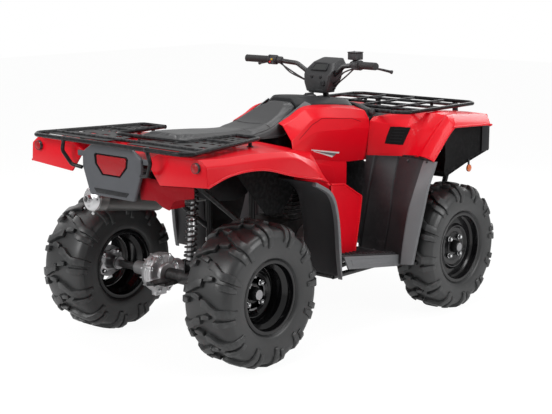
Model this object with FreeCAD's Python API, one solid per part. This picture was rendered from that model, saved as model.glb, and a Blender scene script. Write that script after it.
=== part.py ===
import FreeCAD, Part
import math
import os
from FreeCAD import Vector

# A four-wheeled utility quad bike: steel frame, engine, solid rear axle, steered front wheels,
# moulded body panels and two carriers. Lengths are millimetres and angles are degrees.
# +X is forwards, +Y is to the rider's left and +Z is up. The origin is on the ground, midway
# along the vehicle on its centre line. Left-hand pieces are drawn and the right-hand ones mirrored.

# Driving dimensions of the running gear
WHEELBASE = 1267.0
REAR_AXLE_X = -665.0
FRONT_AXLE_X = REAR_AXLE_X + WHEELBASE
TYRE_RADIUS = 298.0
REAR_TRACK = 864.0
FRONT_TRACK = 995.0
REAR_TYRE_WIDTH = 254.0
FRONT_TYRE_WIDTH = 203.0
LUG_HEIGHT = 17.0
TYRE_WALL = 9.0
LUG_COUNT = 12
TYRE_FACETS = 24
SHOULDER_DROP = 26.0
LUG_REACH = 34.0
# The blocks have flat tops, and the vehicle rests on the corners of the lowest ones
LUG_TOP = math.sqrt(TYRE_RADIUS ** 2 - LUG_REACH ** 2)
AXLE_Z = TYRE_RADIUS * math.cos(math.pi / LUG_COUNT - math.asin(LUG_REACH / TYRE_RADIUS))
# A flat facet's middle lies nearer to the axle than its corners, by this factor at the bead
BEAD_ROUND = 1.0 / math.cos(math.pi / TYRE_FACETS)

# Rims: radius of the bead seat, width between the flanges, and how far the disc sits in from the
# outer flange
REAR_BEAD_RADIUS = 139.7
REAR_RIM_WIDTH = 203.0
REAR_DISC_DEPTH = 92.0
FRONT_BEAD_RADIUS = 152.4
FRONT_RIM_WIDTH = 152.0
FRONT_DISC_DEPTH = 34.0
FLANGE_HEIGHT = 13.0
RIM_WALL = 4.0
STUD_CIRCLE_RADIUS = 55.0
STUD_RADIUS = 5.0
HUB_BORE_RADIUS = 34.0

# Clearance between pieces that stay still on each other, and round parts that turn
SEAT_GAP = 0.3
RUNNING_GAP = 0.08

# Steering
COLUMN_TOP = Vector(300, 0, 1040)
COLUMN_FOOT = Vector(490, 0, 380)
COLUMN_RADIUS = 14.0
KINGPIN_Y = 440.0
STEERING_ARM = 100.0
PITMAN_ARM = 82.4
TIE_ROD_RADIUS = 7.0
BAR_RADIUS = 11.0
GRIP_END_Y = 390.0
GRIP_LENGTH = 125.0
GRIP_RADIUS = 17.0

# Frame
TUBE = 14.0
RAIL_Y = 130.0
LOWER_RAIL_Z = 215.0
UPPER_RAIL_Z = 770.0

# Body panels
WALL = 4.0
RACK_Z = 892.0
RACK_TUBE = 9.0
CAP_RADIUS = 34.0
CAP_X = 196.0
CAP_Z = 968.0


def mirrored(shape):
    """The same shape on the other side of the centre line."""
    return shape.mirror(Vector(0, 0, 0), Vector(0, 1, 0))


def both(shape):
    """A piece and its mirror image, as two solids of one node."""
    return Part.makeCompound([shape, mirrored(shape)])


def fuse(shapes):
    """One solid from pieces that are welded or moulded together."""
    shapes = list(shapes)
    whole = shapes[0].fuse(shapes[1:]) if len(shapes) > 1 else shapes[0]
    return whole.removeSplitter()


def path(points, bend, closed=False):
    """Straight runs through the points, joined by tangent arcs of radius bend."""
    count = len(points)
    corners = range(count) if closed else range(1, count - 1)
    arcs = {}
    for i in corners:
        here = points[i]
        back = (points[i - 1] - here).normalize()
        on = (points[(i + 1) % count] - here).normalize()
        half = back.getAngle(on) / 2
        if half > math.radians(89.5) or bend <= 0:
            continue
        middle = (back + on).normalize()
        reach = bend / math.tan(half)
        centre = here + middle * (bend / math.sin(half))
        arcs[i] = (here + back * reach, centre - middle * bend, here + on * reach)
    edges = []
    starts = [arcs[i][2] if i in arcs else points[i] for i in range(count)]
    ends = [arcs[i][0] if i in arcs else points[i] for i in range(count)]
    for i in range(count if closed else count - 1):
        after = (i + 1) % count
        if i in arcs:
            edges.append(Part.Arc(*arcs[i]).toShape())
        if (ends[after] - starts[i]).Length > 0.01:
            edges.append(Part.makeLine(starts[i], ends[after]))
    return Part.Wire(edges)


def tube(points, radius, bend):
    """A round bar along a bent path."""
    wire = path(points, bend)
    first = wire.Edges[0]
    start = first.valueAt(first.FirstParameter)
    along = first.tangentAt(first.FirstParameter)
    ring = Part.Wire(Part.makeCircle(radius, start, along))
    return wire.makePipeShell([ring], True, False)


def rod(start, end, radius):
    """A straight round bar between two points."""
    return Part.makeCylinder(radius, (end - start).Length, start, end - start)


def cylinder_y(x, z, radius, low, high):
    """A cylinder across the vehicle."""
    return Part.makeCylinder(radius, high - low, Vector(x, low, z), Vector(0, 1, 0))


def box(low, high):
    """A block from its lowest to its highest corner."""
    return Part.makeBox(high[0] - low[0], high[1] - low[1], high[2] - low[2], Vector(*low))


def side_prism(outline, low, high, bend=0.0):
    """A plate whose outline is given as (x, z), between two values of y."""
    wire = path([Vector(x, low, z) for x, z in outline], bend, True)
    return Part.Face(wire).extrude(Vector(0, high - low, 0))


def plan_prism(outline, low, high, bend=0.0):
    """A plate whose outline is given as (x, y), between two heights."""
    wire = path([Vector(x, y, low) for x, y in outline], bend, True)
    return Part.Face(wire).extrude(Vector(0, 0, high - low))


def front_prism(outline, low, high, bend=0.0):
    """A plate whose outline is given as (y, z), between two values of x."""
    wire = path([Vector(low, y, z) for y, z in outline], bend, True)
    return Part.Face(wire).extrude(Vector(high - low, 0, 0))


def wall_ring(points, wall, bend, inside):
    """The closed outline of a thin wall that follows an open, flat line of points.

    The wall grows from the points towards the side on which the point inside lies."""
    flat = (points[1] - points[0]).cross(points[-1] - points[0]).normalize()
    sides = []
    for a, b in zip(points, points[1:]):
        normal = flat.cross(b - a).normalize()
        if normal.dot(inside - a) < 0:
            normal = normal * -1
        sides.append(normal)
    inner = []
    for i, point in enumerate(points):
        if i == 0 or i == len(points) - 1:
            inner.append(point + sides[min(i, len(sides) - 1)] * wall)
        else:
            both_sides = (sides[i - 1] + sides[i])
            inner.append(point + both_sides * (wall / (1 + sides[i - 1].dot(sides[i]))))
    outer_edges = path(points, bend).Edges
    inner_edges = path(inner[::-1], max(bend - wall, 0.5 * bend)).Edges
    ends = [Part.makeLine(points[-1], inner[-1]), Part.makeLine(inner[0], points[0])]
    return Part.Wire(outer_edges + [ends[0]] + inner_edges + [ends[1]])


def panel(stations, wall=WALL, bend=18.0, inside=(0, 0, 0), ruled=False):
    """A moulded skin through stations, each an open flat line of (x, y, z) points."""
    inside = Vector(*inside)
    wires = [wall_ring([Vector(*p) for p in s], wall, bend, inside) for s in stations]
    return Part.makeLoft(wires, True, ruled)


def revolved(profile, x, y, z):
    """A ring or disc about an axle, from (distance along y, radius) points."""
    points = [Vector(r, a, 0) for a, r in profile]
    face = Part.Face(Part.makePolygon(points + [points[0]]))
    ring = face.revolve(Vector(0, 0, 0), Vector(0, 1, 0), 360)
    ring.translate(Vector(x, y, z))
    return ring


# Wheels


def tyre_section(width, rim_width, bead_radius):
    """The outside of a tyre's section from bead to bead as (across, radius)."""
    crown = TYRE_RADIUS - LUG_HEIGHT
    bead = rim_width / 2 - SEAT_GAP
    half = width / 2
    flange = bead_radius + FLANGE_HEIGHT
    side = [
        (bead, bead_radius * BEAD_ROUND),
        (bead, flange * BEAD_ROUND + 3),
        (half, (flange + crown) / 2),
        (half - 8, crown - 28),
        (half * 0.62, crown),
    ]
    return side + [(-a, r) for a, r in reversed(side)]


def faceted_ring(outline, count):
    """A closed ring of flat facets: the outline (across, radius) repeated round the axle."""
    def corner(i, j):
        across, radius = outline[j % len(outline)]
        turn = 2 * math.pi * (i % count) / count
        return Vector(radius * math.cos(turn), across, radius * math.sin(turn))
    faces = []
    for i in range(count):
        for j in range(len(outline)):
            a, b, c, d = corner(i, j), corner(i + 1, j), corner(i + 1, j + 1), corner(i, j + 1)
            faces.append(Part.Face(Part.makePolygon([a, b, c, d, a])))
    solid = Part.makeSolid(Part.makeShell(faces))
    return solid if solid.Volume > 0 else solid.reversed()


def block_between(low, high):
    """A solid with flat sides between two polygons that have as many corners."""
    def face(corners):
        return Part.Face(Part.makePolygon(corners + [corners[0]]))
    faces = [face(low), face(high)]
    for i in range(len(low)):
        j = (i + 1) % len(low)
        faces.append(face([low[i], low[j], high[j], high[i]]))
    solid = Part.makeSolid(Part.makeShell(faces))
    return solid if solid.Volume > 0 else solid.reversed()


def lug(outline, half, turn):
    """One tread block, (along the tread, across it), its top leaning down to the shoulder."""
    foot = [Vector(s, y, LUG_HEIGHT + 18 - LUG_TOP) for s, y in outline]
    top = [Vector(s, y, SHOULDER_DROP * max(0.0, abs(y) / half - 0.26) - LUG_TOP) for s, y in outline]
    block = block_between(foot, top)
    block.rotate(Vector(0, 0, 0), Vector(0, 1, 0), turn)
    return block


def tread(half):
    """Shoulder blocks all round the tyre, staggered from side to side."""
    edge = 0.97 * half
    outline = [
        (-LUG_REACH, 0.26 * half), (-0.05 * LUG_REACH, 0.26 * half), (0.8 * LUG_REACH, edge),
        (-0.45 * LUG_REACH, edge),
    ]
    blocks = []
    for i in range(LUG_COUNT):
        turn = 360.0 * i / LUG_COUNT
        blocks.append(lug(outline, half, turn))
        blocks.append(lug([(s, -y) for s, y in outline], half, turn + 180.0 / LUG_COUNT))
    return blocks


def tyre(width, rim_width, bead_radius):
    """A knobbly balloon tyre about the origin, its axle along y."""
    outer = tyre_section(width, rim_width, bead_radius)
    foot = (bead_radius + SEAT_GAP) * BEAD_ROUND
    outer[0], outer[-1] = (outer[0][0], foot), (outer[-1][0], foot)
    low, high = rim_width / 2 - SEAT_GAP - TYRE_WALL, TYRE_RADIUS - LUG_HEIGHT - 2 * TYRE_WALL
    inner = [(low, foot), (width * 0.40, high), (-width * 0.40, high), (-low, foot)]
    carcass = faceted_ring(outer + inner[::-1], TYRE_FACETS)
    return carcass.fuse(tread(width / 2))


def rim(width, bead_radius, disc_depth, vents):
    """A pressed steel rim about the origin: barrel, flanges and disc, its outer face at +y.

    Vents is a list of (distance from the axle, radius) for the round holes in the disc."""
    half = width / 2
    t = RIM_WALL
    flange = bead_radius + FLANGE_HEIGHT
    well = bead_radius - 20
    disc = half - disc_depth
    barrel = [
        (-half - t, flange), (-half, flange), (-half, bead_radius), (-half + 26, bead_radius - 1),
        (-half + 40, well), (half - 40, well), (half - 26, bead_radius - 1), (half, bead_radius),
        (half, flange), (half + t, flange), (half + t, bead_radius - t),
        (half - 27, bead_radius - t - 1), (half - 41, well - t), (-half + 41, well - t),
        (-half + 27, bead_radius - t - 1), (-half - t, bead_radius - t),
    ]
    shallow = disc > half - 41 - t
    edge = bead_radius - t - 2 if shallow else well - t
    plate = [
        (disc, HUB_BORE_RADIUS), (disc, 84), (disc + 8, 92), (disc + 8, 100), (disc, 108),
        (disc, edge + 1), (disc + t, edge + 1), (disc + t, 109), (disc + t + 8, 101),
        (disc + t + 8, 91), (disc + t, 83), (disc + t, HUB_BORE_RADIUS),
    ]
    cuts = []
    for i in range(4):
        turn = math.radians(45 + 90 * i)
        x, z = STUD_CIRCLE_RADIUS * math.cos(turn), STUD_CIRCLE_RADIUS * math.sin(turn)
        cuts.append(cylinder_y(x, z, STUD_RADIUS + 1, disc - 5, disc + 30))
        for reach, radius in vents:
            x, z = reach * math.cos(turn + 0.785), reach * math.sin(turn + 0.785)
            cuts.append(cylinder_y(x, z, radius, disc - 5, disc + 30))
    whole = revolved(barrel, 0, 0, 0).fuse(revolved(plate, 0, 0, 0))
    return whole.cut(cuts).removeSplitter()


def hub_face(disc_inner, reach):
    """Hub flange, studs and nuts that clamp a rim's disc, and the cap in its bore."""
    pieces = [cylinder_y(0, 0, 70, disc_inner - 10, disc_inner)]
    pieces.append(cylinder_y(0, 0, 27, disc_inner - reach, disc_inner))
    pieces.append(cylinder_y(0, 0, 20, disc_inner, disc_inner + 34))
    for i in range(4):
        turn = math.radians(45 + 90 * i)
        x, z = STUD_CIRCLE_RADIUS * math.cos(turn), STUD_CIRCLE_RADIUS * math.sin(turn)
        pieces.append(cylinder_y(x, z, STUD_RADIUS, disc_inner - 2, disc_inner + RIM_WALL + 16))
        pieces.append(cylinder_y(x, z, 10, disc_inner + RIM_WALL, disc_inner + RIM_WALL + 12))
    return fuse(pieces)


def placed(shape, x, y, z):
    """A copy of a shape moved to its place."""
    copy = shape.copy()
    copy.translate(Vector(x, y, z))
    return copy


def wheel_side(shape, side, x, y):
    """A wheel piece drawn with its outer face at +y, moved to the left (1) or right (-1) side."""
    if side < 0:
        shape = shape.mirror(Vector(0, 0, 0), Vector(0, 1, 0))
    return placed(shape, x, side * y, AXLE_Z)


REAR_DISC = REAR_RIM_WIDTH / 2 - REAR_DISC_DEPTH
FRONT_DISC = FRONT_RIM_WIDTH / 2 - FRONT_DISC_DEPTH
AXLE_RADIUS = 16.0
SPINDLE_RADIUS = 14.0
REAR_Y = REAR_TRACK / 2
FRONT_Y = FRONT_TRACK / 2


def rear_axle():
    """The solid rear shaft with a hub at each end."""
    hub = wheel_side(hub_face(REAR_DISC, 84), 1, REAR_AXLE_X, REAR_Y)
    shaft = cylinder_y(REAR_AXLE_X, AXLE_Z, AXLE_RADIUS, -REAR_Y, REAR_Y)
    return fuse([shaft, hub, mirrored(hub)])


def front_hub():
    """A front hub with its bore for the spindle, about the wheel's centre."""
    bore = cylinder_y(0, 0, SPINDLE_RADIUS + RUNNING_GAP, FRONT_DISC - 80, FRONT_DISC - 18)
    return hub_face(FRONT_DISC, 58).cut(bore)


# Front suspension and steering

PIN_RADIUS = 8.0
EYE_RADIUS = 19.0
LOWER_BALL_Z = 228.0
UPPER_BALL_Z = 368.0
ARM_RADIUS = 10.0
PIVOT_Y = 121.5
FRONT_RAIL_Y = 95.0
STEERING_ARM_Z = 325.0
SHOCK_FOOT = Vector(FRONT_AXLE_X, 364, 405)
SHOCK_HEAD = Vector(FRONT_AXLE_X, 214, 690)
SHOCK_PIN = 5.0
COIL_WIRE = 4.5
COIL_PITCH = 21.0
COIL_SIDES = 8


def wishbone(ball_z, spread, pivot_z):
    """One A-shaped arm on the left: two tubes from pivots on the frame to an eye at the knuckle."""
    x, eye = FRONT_AXLE_X, Vector(FRONT_AXLE_X, KINGPIN_Y - EYE_RADIUS + 4, ball_z)
    pieces = [Part.makeCylinder(EYE_RADIUS, 16, Vector(x, KINGPIN_Y, ball_z - 8))]
    for sign in (-1, 1):
        foot = Vector(x + sign * spread, PIVOT_Y, pivot_z)
        pieces.append(rod(foot, eye + Vector(sign * 4, 0, 0), ARM_RADIUS))
        pieces.append(Part.makeCylinder(12, 44, foot - Vector(22, 0, 0), Vector(1, 0, 0)))
    bore = Part.makeCylinder(PIN_RADIUS + RUNNING_GAP, 40, Vector(x, KINGPIN_Y, ball_z - 20))
    return fuse(pieces).cut(bore)


def front_arms():
    """The lower and upper arms, the upper ones with the ears of the shocks."""
    lower = wishbone(LOWER_BALL_Z, 100, 232)
    upper = wishbone(UPPER_BALL_Z, 70, 402)
    x = FRONT_AXLE_X
    ears = [rod(SHOCK_FOOT - Vector(26, 0, 0), SHOCK_FOOT + Vector(26, 0, 0), SHOCK_PIN)]
    for side in (-26, 20):
        ears.append(box((x + side, 350, 374), (x + side + 6, 380, 413)))
    upper = fuse([upper] + ears)
    return Part.makeCompound([lower, upper, mirrored(lower), mirrored(upper)])


def knuckle():
    """The left upright with its pins, spindle and steering arm."""
    x, y = FRONT_AXLE_X, KINGPIN_Y
    low, high = LOWER_BALL_Z + 10, UPPER_BALL_Z - 10
    pieces = [
        Part.makeCylinder(16, high - low, Vector(x, y, low)),
        Part.makeCylinder(PIN_RADIUS, UPPER_BALL_Z - LOWER_BALL_Z + 24, Vector(x, y, LOWER_BALL_Z - 12)),
        cylinder_y(x, AXLE_Z, 24, y - 12, y + 30),
        cylinder_y(x, AXLE_Z, SPINDLE_RADIUS, y, FRONT_Y + FRONT_DISC - 22),
    ]
    tip = Vector(x - STEERING_ARM, y - 10, STEERING_ARM_Z)
    pieces.append(rod(Vector(x, y, STEERING_ARM_Z), tip, 9))
    pieces.append(Part.makeCylinder(13, 12, tip - Vector(0, 0, 6)))
    bore = Part.makeCylinder(5 + RUNNING_GAP, 30, tip - Vector(0, 0, 15))
    return fuse(pieces).cut(bore)


def column_point(z):
    """The point on the steering column's axis at a height."""
    t = (COLUMN_TOP.z - z) / (COLUMN_TOP.z - COLUMN_FOOT.z)
    return COLUMN_TOP + (COLUMN_FOOT - COLUMN_TOP) * t


AXIS = (COLUMN_TOP - COLUMN_FOOT).normalize()
AFT = Vector(-AXIS.z, 0, AXIS.x)
PITMAN_TIP = COLUMN_FOOT + AFT * PITMAN_ARM
CLAMP_RISE = 42.0
BAR_CENTRE = COLUMN_TOP + AXIS * CLAMP_RISE


def steering_column():
    """The column, its pitman arm at the foot and the posts of the bar clamps."""
    length = (COLUMN_TOP - COLUMN_FOOT).Length
    post = length + CLAMP_RISE - BAR_RADIUS - SEAT_GAP
    pieces = [
        Part.makeCylinder(COLUMN_RADIUS, length + 10, Vector(0, 0, -10)),
        Part.makeCylinder(22, 12, Vector(0, 0, -11)),
        box((-PITMAN_ARM, -11, -9), (0, 11, -1)),
        Part.makeCylinder(17, 10, Vector(-PITMAN_ARM, 0, -10)),
        box((-15, -52, length - 22), (15, 52, length - 2)),
    ]
    for side in (-1, 1):
        pieces.append(Part.makeCylinder(11, post - length + 12, Vector(0, side * 38, length - 12)))
    upright = fuse(pieces)
    tilt = math.degrees(math.atan2(COLUMN_TOP.x - COLUMN_FOOT.x, COLUMN_TOP.z - COLUMN_FOOT.z))
    upright.Placement = FreeCAD.Placement(COLUMN_FOOT, FreeCAD.Rotation(Vector(0, 1, 0), tilt))
    return upright


def bar_points():
    """The corners of the bar from its right end to its left."""
    left = [
        BAR_CENTRE + Vector(0, 70, 0), Vector(272, 140, 1128), Vector(232, 250, 1141),
        Vector(188, GRIP_END_Y - 3, 1145),
    ]
    right = [Vector(p.x, -p.y, p.z) for p in reversed(left)]
    return right + left


def handlebar():
    """The bent steel bar."""
    return tube(bar_points(), BAR_RADIUS, 40)


def along_bar(distance):
    """A point on the left of the bar, a distance in from its end, and the bar's direction there."""
    end, knee = bar_points()[-1], bar_points()[-2]
    way = (knee - end).normalize()
    return end + way * distance, way


def grips():
    """The rubber grips, each with its flange."""
    start, way = along_bar(-3)
    grip = Part.makeCylinder(GRIP_RADIUS, GRIP_LENGTH, start, way)
    flange = Part.makeCylinder(GRIP_RADIUS + 6, 6, start + way * (GRIP_LENGTH - 6), way)
    bore = Part.makeCylinder(BAR_RADIUS + RUNNING_GAP, GRIP_LENGTH + 20, start + way * 3, way)
    return both(fuse([grip, flange]).cut(bore))


def controls(side):
    """A switch or throttle housing, a lever perch, a lever and, on the right, a fluid reservoir."""
    start, way = along_bar(GRIP_LENGTH + 2)
    ahead = Vector(0.93, 0.36, -0.05).normalize()
    pieces = [Part.makeCylinder(23, 34, start, way)]
    perch = start + way * 40
    pieces.append(Part.makeCylinder(17, 26, start + way * 34, way))
    pieces.append(rod(perch, perch + ahead * 42, 9))
    knee = perch + ahead * 42
    tip = Vector(292, GRIP_END_Y + 10, 1114)
    pieces.append(tube([knee, Vector(276, 290, 1132), tip], 6, 20))
    pieces.append(Part.makeSphere(9, tip))
    if side < 0:
        pieces.append(Part.makeCylinder(9, 34, perch, Vector(0.1, -0.1, 1)))
        pieces.append(box((216, 206, 1164), (264, 258, 1200)))
    bore = tube(bar_points(), BAR_RADIUS + RUNNING_GAP, 40)
    whole = fuse(pieces).cut(bore)
    return whole if side > 0 else mirrored(whole)


def console():
    """The pod that holds the display, over the middle of the bar."""
    low = [(236, 62), (330, 62), (330, -62), (236, -62)]
    wires = []
    for grow, shift, z in ((1.0, 0, 1016), (1.28, 14, 1092), (1.35, 34, 1112), (1.0, 50, 1146)):
        ring = [Vector(283 + shift + (x - 283) * (grow * 0.9), y * grow, z + (x - 283) * 0.22)
                for x, y in low]
        wires.append(Part.makePolygon(ring + [ring[0]]))
    pod = Part.makeLoft(wires, True, True)
    cuts = [tube(bar_points(), BAR_RADIUS + SEAT_GAP, 40)]
    tilt = FreeCAD.Rotation(Vector(0, 0, 1), AXIS)
    hollow = box((-17, -54, -60), (17, 54, CLAMP_RISE))
    hollow.Placement = FreeCAD.Placement(COLUMN_TOP, tilt)
    cuts.append(hollow)
    return pod.cut(cuts)


def tie_rod():
    """The left tie rod, from the knuckle's arm to just under the pitman arm."""
    outer = Vector(FRONT_AXLE_X - STEERING_ARM, KINGPIN_Y - 10, STEERING_ARM_Z)
    inner = Vector(PITMAN_TIP.x - 3, 26, PITMAN_TIP.z - 34)
    lift = Vector(0, 0, -18)
    pieces = [rod(outer + lift, inner, TIE_ROD_RADIUS)]
    pieces.append(Part.makeCylinder(11, 12, outer + lift - Vector(0, 0, 6)))
    pieces.append(Part.makeCylinder(5, 34, outer + lift))
    pieces.append(Part.makeCylinder(11, 12, inner - Vector(0, 0, 6)))
    return fuse(pieces)


def coil(start, way, length, radius, wire):
    """A coil spring of round wire about a line."""
    turns = max(round(length / COIL_PITCH), 3)
    helix = Part.makeHelix(length / turns, length, radius - wire)
    first = helix.Edges[0]
    centre, along = first.valueAt(first.FirstParameter), first.tangentAt(first.FirstParameter)
    out = Vector(centre.x, centre.y, 0).normalize()
    up = along.cross(out)
    turns_round = [2 * math.pi * i / COIL_SIDES for i in range(COIL_SIDES + 1)]
    ring = Part.makePolygon([centre + out * (wire * math.cos(a)) + up * (wire * math.sin(a))
                             for a in turns_round])
    spring = Part.Wire(helix.Edges).makePipeShell([ring], True, True)
    spring.Placement = FreeCAD.Placement(start, FreeCAD.Rotation(Vector(0, 0, 1), way))
    return spring


def shock(foot, head, radius, pin):
    """A coil-over damper between two pins, with its spring held between two collars."""
    way = (head - foot).normalize()
    length = (head - foot).Length
    seat_low, seat_high = 36.0, 38.0
    pieces = [rod(foot, head, 9), rod(foot + way * 14, foot + way * (length * 0.55), 17)]
    pieces.append(Part.makeCylinder(radius + 1, 6, foot + way * (seat_low - 6), way))
    pieces.append(Part.makeCylinder(radius + 1, 8, head - way * seat_high, way))
    for end in (foot, head):
        pieces.append(Part.makeCylinder(13, 24, end - pin * 12, pin))
    bores = [Part.makeCylinder(SHOCK_PIN + RUNNING_GAP, 60, end - pin * 30, pin) for end in (foot, head)]
    damper = fuse(pieces).cut(bores)
    end_room = COIL_WIRE + SEAT_GAP
    spring = coil(foot + way * (seat_low + end_room), way, length - seat_low - seat_high - 2 * end_room,
                  radius, COIL_WIRE)
    return Part.makeCompound([damper, spring])


def front_shock():
    """A coil-over unit on the left between the upper arm's ears and the frame's tower."""
    return shock(SHOCK_FOOT, SHOCK_HEAD, 30, Vector(1, 0, 0))


# Frame, engine and drive

PIVOT_X = -335.0
PIVOT_Z = AXLE_Z
SHOCK_Y = -84.0
DECK_BOSSES = [(-560, 150), (-900, 150)]
FOOT_TUBE_Z = 268.0


def frame_side():
    """The left half of the main frame: its loop, seat rail, stay, front rail and foot supports."""
    front = [(PIVOT_X, RAIL_Y, 300), (PIVOT_X, RAIL_Y, LOWER_RAIL_Z), (250, RAIL_Y, LOWER_RAIL_Z),
             (460, FRONT_RAIL_Y, 230), (760, FRONT_RAIL_Y, 232), (775, 100, 430), (735, 125, 655)]
    rear = [(PIVOT_X, RAIL_Y, 300), (PIVOT_X, RAIL_Y, UPPER_RAIL_Z), (180, 118, 760),
            (560, RAIL_Y, 790), (735, 125, 655)]
    pieces = [
        tube([Vector(*p) for p in front], TUBE, 45),
        tube([Vector(*p) for p in rear], TUBE, 45),
        Part.makeSphere(TUBE + 0.4, Vector(*front[-1])),
        tube([Vector(PIVOT_X + 20, RAIL_Y, UPPER_RAIL_Z), Vector(-640, 132, 792), Vector(-968, 132, 800)],
             12, 60),
        rod(Vector(PIVOT_X, 146, 440), Vector(-800, 140, 792), 11),
        tube([Vector(768, 97.2, 402), Vector(530, 97.2, 402), Vector(505, 95, 232)], 12, 30),
        rod(Vector(-150, 430, FOOT_TUBE_Z), Vector(190, 430, FOOT_TUBE_Z), 12),
        rod(Vector(640, 127, 728), Vector(FRONT_AXLE_X + 26, 218, 692), 9),
        rod(Vector(576, 129, 777), Vector(FRONT_AXLE_X - 26, 218, 692), 9),
        rod(SHOCK_HEAD - Vector(28, 0, 0), SHOCK_HEAD + Vector(28, 0, 0), SHOCK_PIN),
    ]
    for x in (-150, 190):
        pieces.append(tube([Vector(x, 120, LOWER_RAIL_Z), Vector(x, 200, LOWER_RAIL_Z + 4),
                            Vector(x, 300, FOOT_TUBE_Z), Vector(x, 432, FOOT_TUBE_Z)], 10, 40))
    for x, y in DECK_BOSSES:
        pieces.append(box((x - 14, 122, 784), (x + 14, y, 841.7)))
    pieces.append(rod(Vector(560, 130, 790), Vector(560, 130, 889), 10).cut(front_cover()))
    pieces.append(rod(Vector(190, 300, 270), Vector(286, 300, 270), 8).cut(leg_shield()))
    for x in (-100, 140):
        pieces.append(rod(Vector(x, 430, FOOT_TUBE_Z), Vector(x, 430, step_height(x) - 3), 9).cut(footwell()))
    return fuse(pieces)


def frame_cross():
    """The cross tubes between the frame's sides, with the column's bushes and the shock's bracket."""
    spans = (
        (PIVOT_X, LOWER_RAIL_Z, RAIL_Y), (PIVOT_X, UPPER_RAIL_Z, RAIL_Y), (250, LOWER_RAIL_Z, RAIL_Y),
        (760, 232, FRONT_RAIL_Y), (735, 655, 125), (560, 790, RAIL_Y), (-960, 800, 132),
    )
    groups = [rod(Vector(x, -y, z), Vector(x, y, z), 10) for x, z, y in spans]
    for x, top in ((-120, 235), (130, 233.9)):
        tube_across = rod(Vector(x, -130, LOWER_RAIL_Z), Vector(x, 130, LOWER_RAIL_Z), 10)
        groups.append(fuse([tube_across, box((x - 9, -60, LOWER_RAIL_Z), (x + 9, 60, top))]))
    bore = rod(column_point(1000), column_point(390), COLUMN_RADIUS + RUNNING_GAP)
    for x, z, y, foot, height, arm in (
            (425, 775, 122, 770, 34, box((388, -16, 770), (425, 16, 780))),
            (530, 402, 98, 404, 24, box((496, -16, 406), (532, 16, 416)))):
        bush = Part.makeCylinder(24, height, column_point(foot), AXIS)
        groups.append(fuse([rod(Vector(x, -y, z), Vector(x, y, z), 10), bush, arm]).cut(bore))
    bracket = [rod(Vector(-640, -132, 770), Vector(-640, 132, 770), 11),
               cylinder_y(-640, 704, SHOCK_PIN, SHOCK_Y - 20, SHOCK_Y + 20)]
    bracket += [rod(Vector(-640, y, 792), Vector(-640, y, 765), 9) for y in (-132, 132)]
    for y in (SHOCK_Y - 22, SHOCK_Y + 15):
        bracket.append(side_prism([(-655, 765), (-625, 765), (-628, 688), (-652, 688)], y, y + 7))
    groups.append(fuse(bracket))
    left = frame_side()
    right = mirrored(left)
    solids = []
    for group in groups:
        solids += group.cut([left, right]).Solids
    return Part.makeCompound(solids)


def engine():
    """The engine as one mass: crankcase, cylinder, head, covers and gearbox."""
    case = side_prism([(-285, 300), (-240, 236), (200, 234), (235, 256), (235, 400), (90, 455),
                       (-190, 450), (-280, 390)], -108, 108, 30)
    cylinder = side_prism([(-40, 430), (95, 430), (150, 640), (20, 665)], -78, 78, 14)
    head = side_prism([(8, 640), (162, 620), (176, 700), (26, 716)], -88, 88, 12)
    pieces = [case, cylinder, head]
    for y, height, radius, x, z in ((108, 52, 88, 60, 340), (108, 38, 74, -130, 345),
                                    (-108, -58, 92, 60, 340), (-108, -34, 70, -140, 345)):
        outwards = Vector(0, math.copysign(1, y), 0)
        pieces.append(Part.makeCylinder(radius, abs(height), Vector(x, y, z), outwards))
    for i in range(6):
        low = 460 + 28 * i
        shift = 40 * (low - 430) / 210.0
        pieces.append(box((-58 + shift + 12, -98, low), (118 + shift, 98, low + 7)))
    return fuse(pieces)


def exhaust():
    """Head pipe and muffler on the left, its tail cap at the rear."""
    rear, front = Vector(-935, 225, 634), Vector(-560, 225, 584)
    way = (front - rear).normalize()
    body = Part.makeCylinder(52, (front - rear).Length - 12, rear + way * 12, way)
    cap = Part.makeCone(34, 52, 12, rear, way)
    spout = Part.makeCylinder(17, 24, rear - way * 22, way)
    cone = Part.makeCone(52, 20, 60, front, way)
    pipe = tube([front + way * 40, Vector(-430, 222, 566), Vector(-240, 172, 560),
                 Vector(130, 156, 600), Vector(226, 76, 640), Vector(172, 10, 684)], 19, 50)
    whole = fuse([body, cap, spout, cone, pipe])
    bore = Part.makeCylinder(12, 60, rear - way * 30, way)
    return whole.cut([bore, grown_engine()])


def grown_engine():
    """The cylinder head, larger all round by the gap that the head pipe keeps."""
    return side_prism([(8, 640), (162.3, 620), (176.3, 700), (26, 716)], -88.3, 88.3, 12)


def final_drive():
    """The cast case round the rear shaft, with the ring gear's bulge."""
    x = REAR_AXLE_X
    pieces = [cylinder_y(x - 8, AXLE_Z + 4, 84, 62, 132), cylinder_y(x, AXLE_Z, 46, 40, 160),
              cylinder_y(x, AXLE_Z, 30, 155, 232)]
    pieces.append(cylinder_y(x - 8, AXLE_Z + 4, 60, 132, 146))
    pieces.append(rod(Vector(x + 40, 100, AXLE_Z), Vector(x + 110, 100, AXLE_Z), 44))
    for i in range(8):
        turn = math.radians(45 * i + 20)
        pieces.append(cylinder_y(x - 8 + 78 * math.cos(turn), AXLE_Z + 4 + 78 * math.sin(turn), 9, 84, 140))
    bore = cylinder_y(x, AXLE_Z, AXLE_RADIUS + RUNNING_GAP, 0, 300)
    return fuse(pieces).cut(bore)


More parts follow.
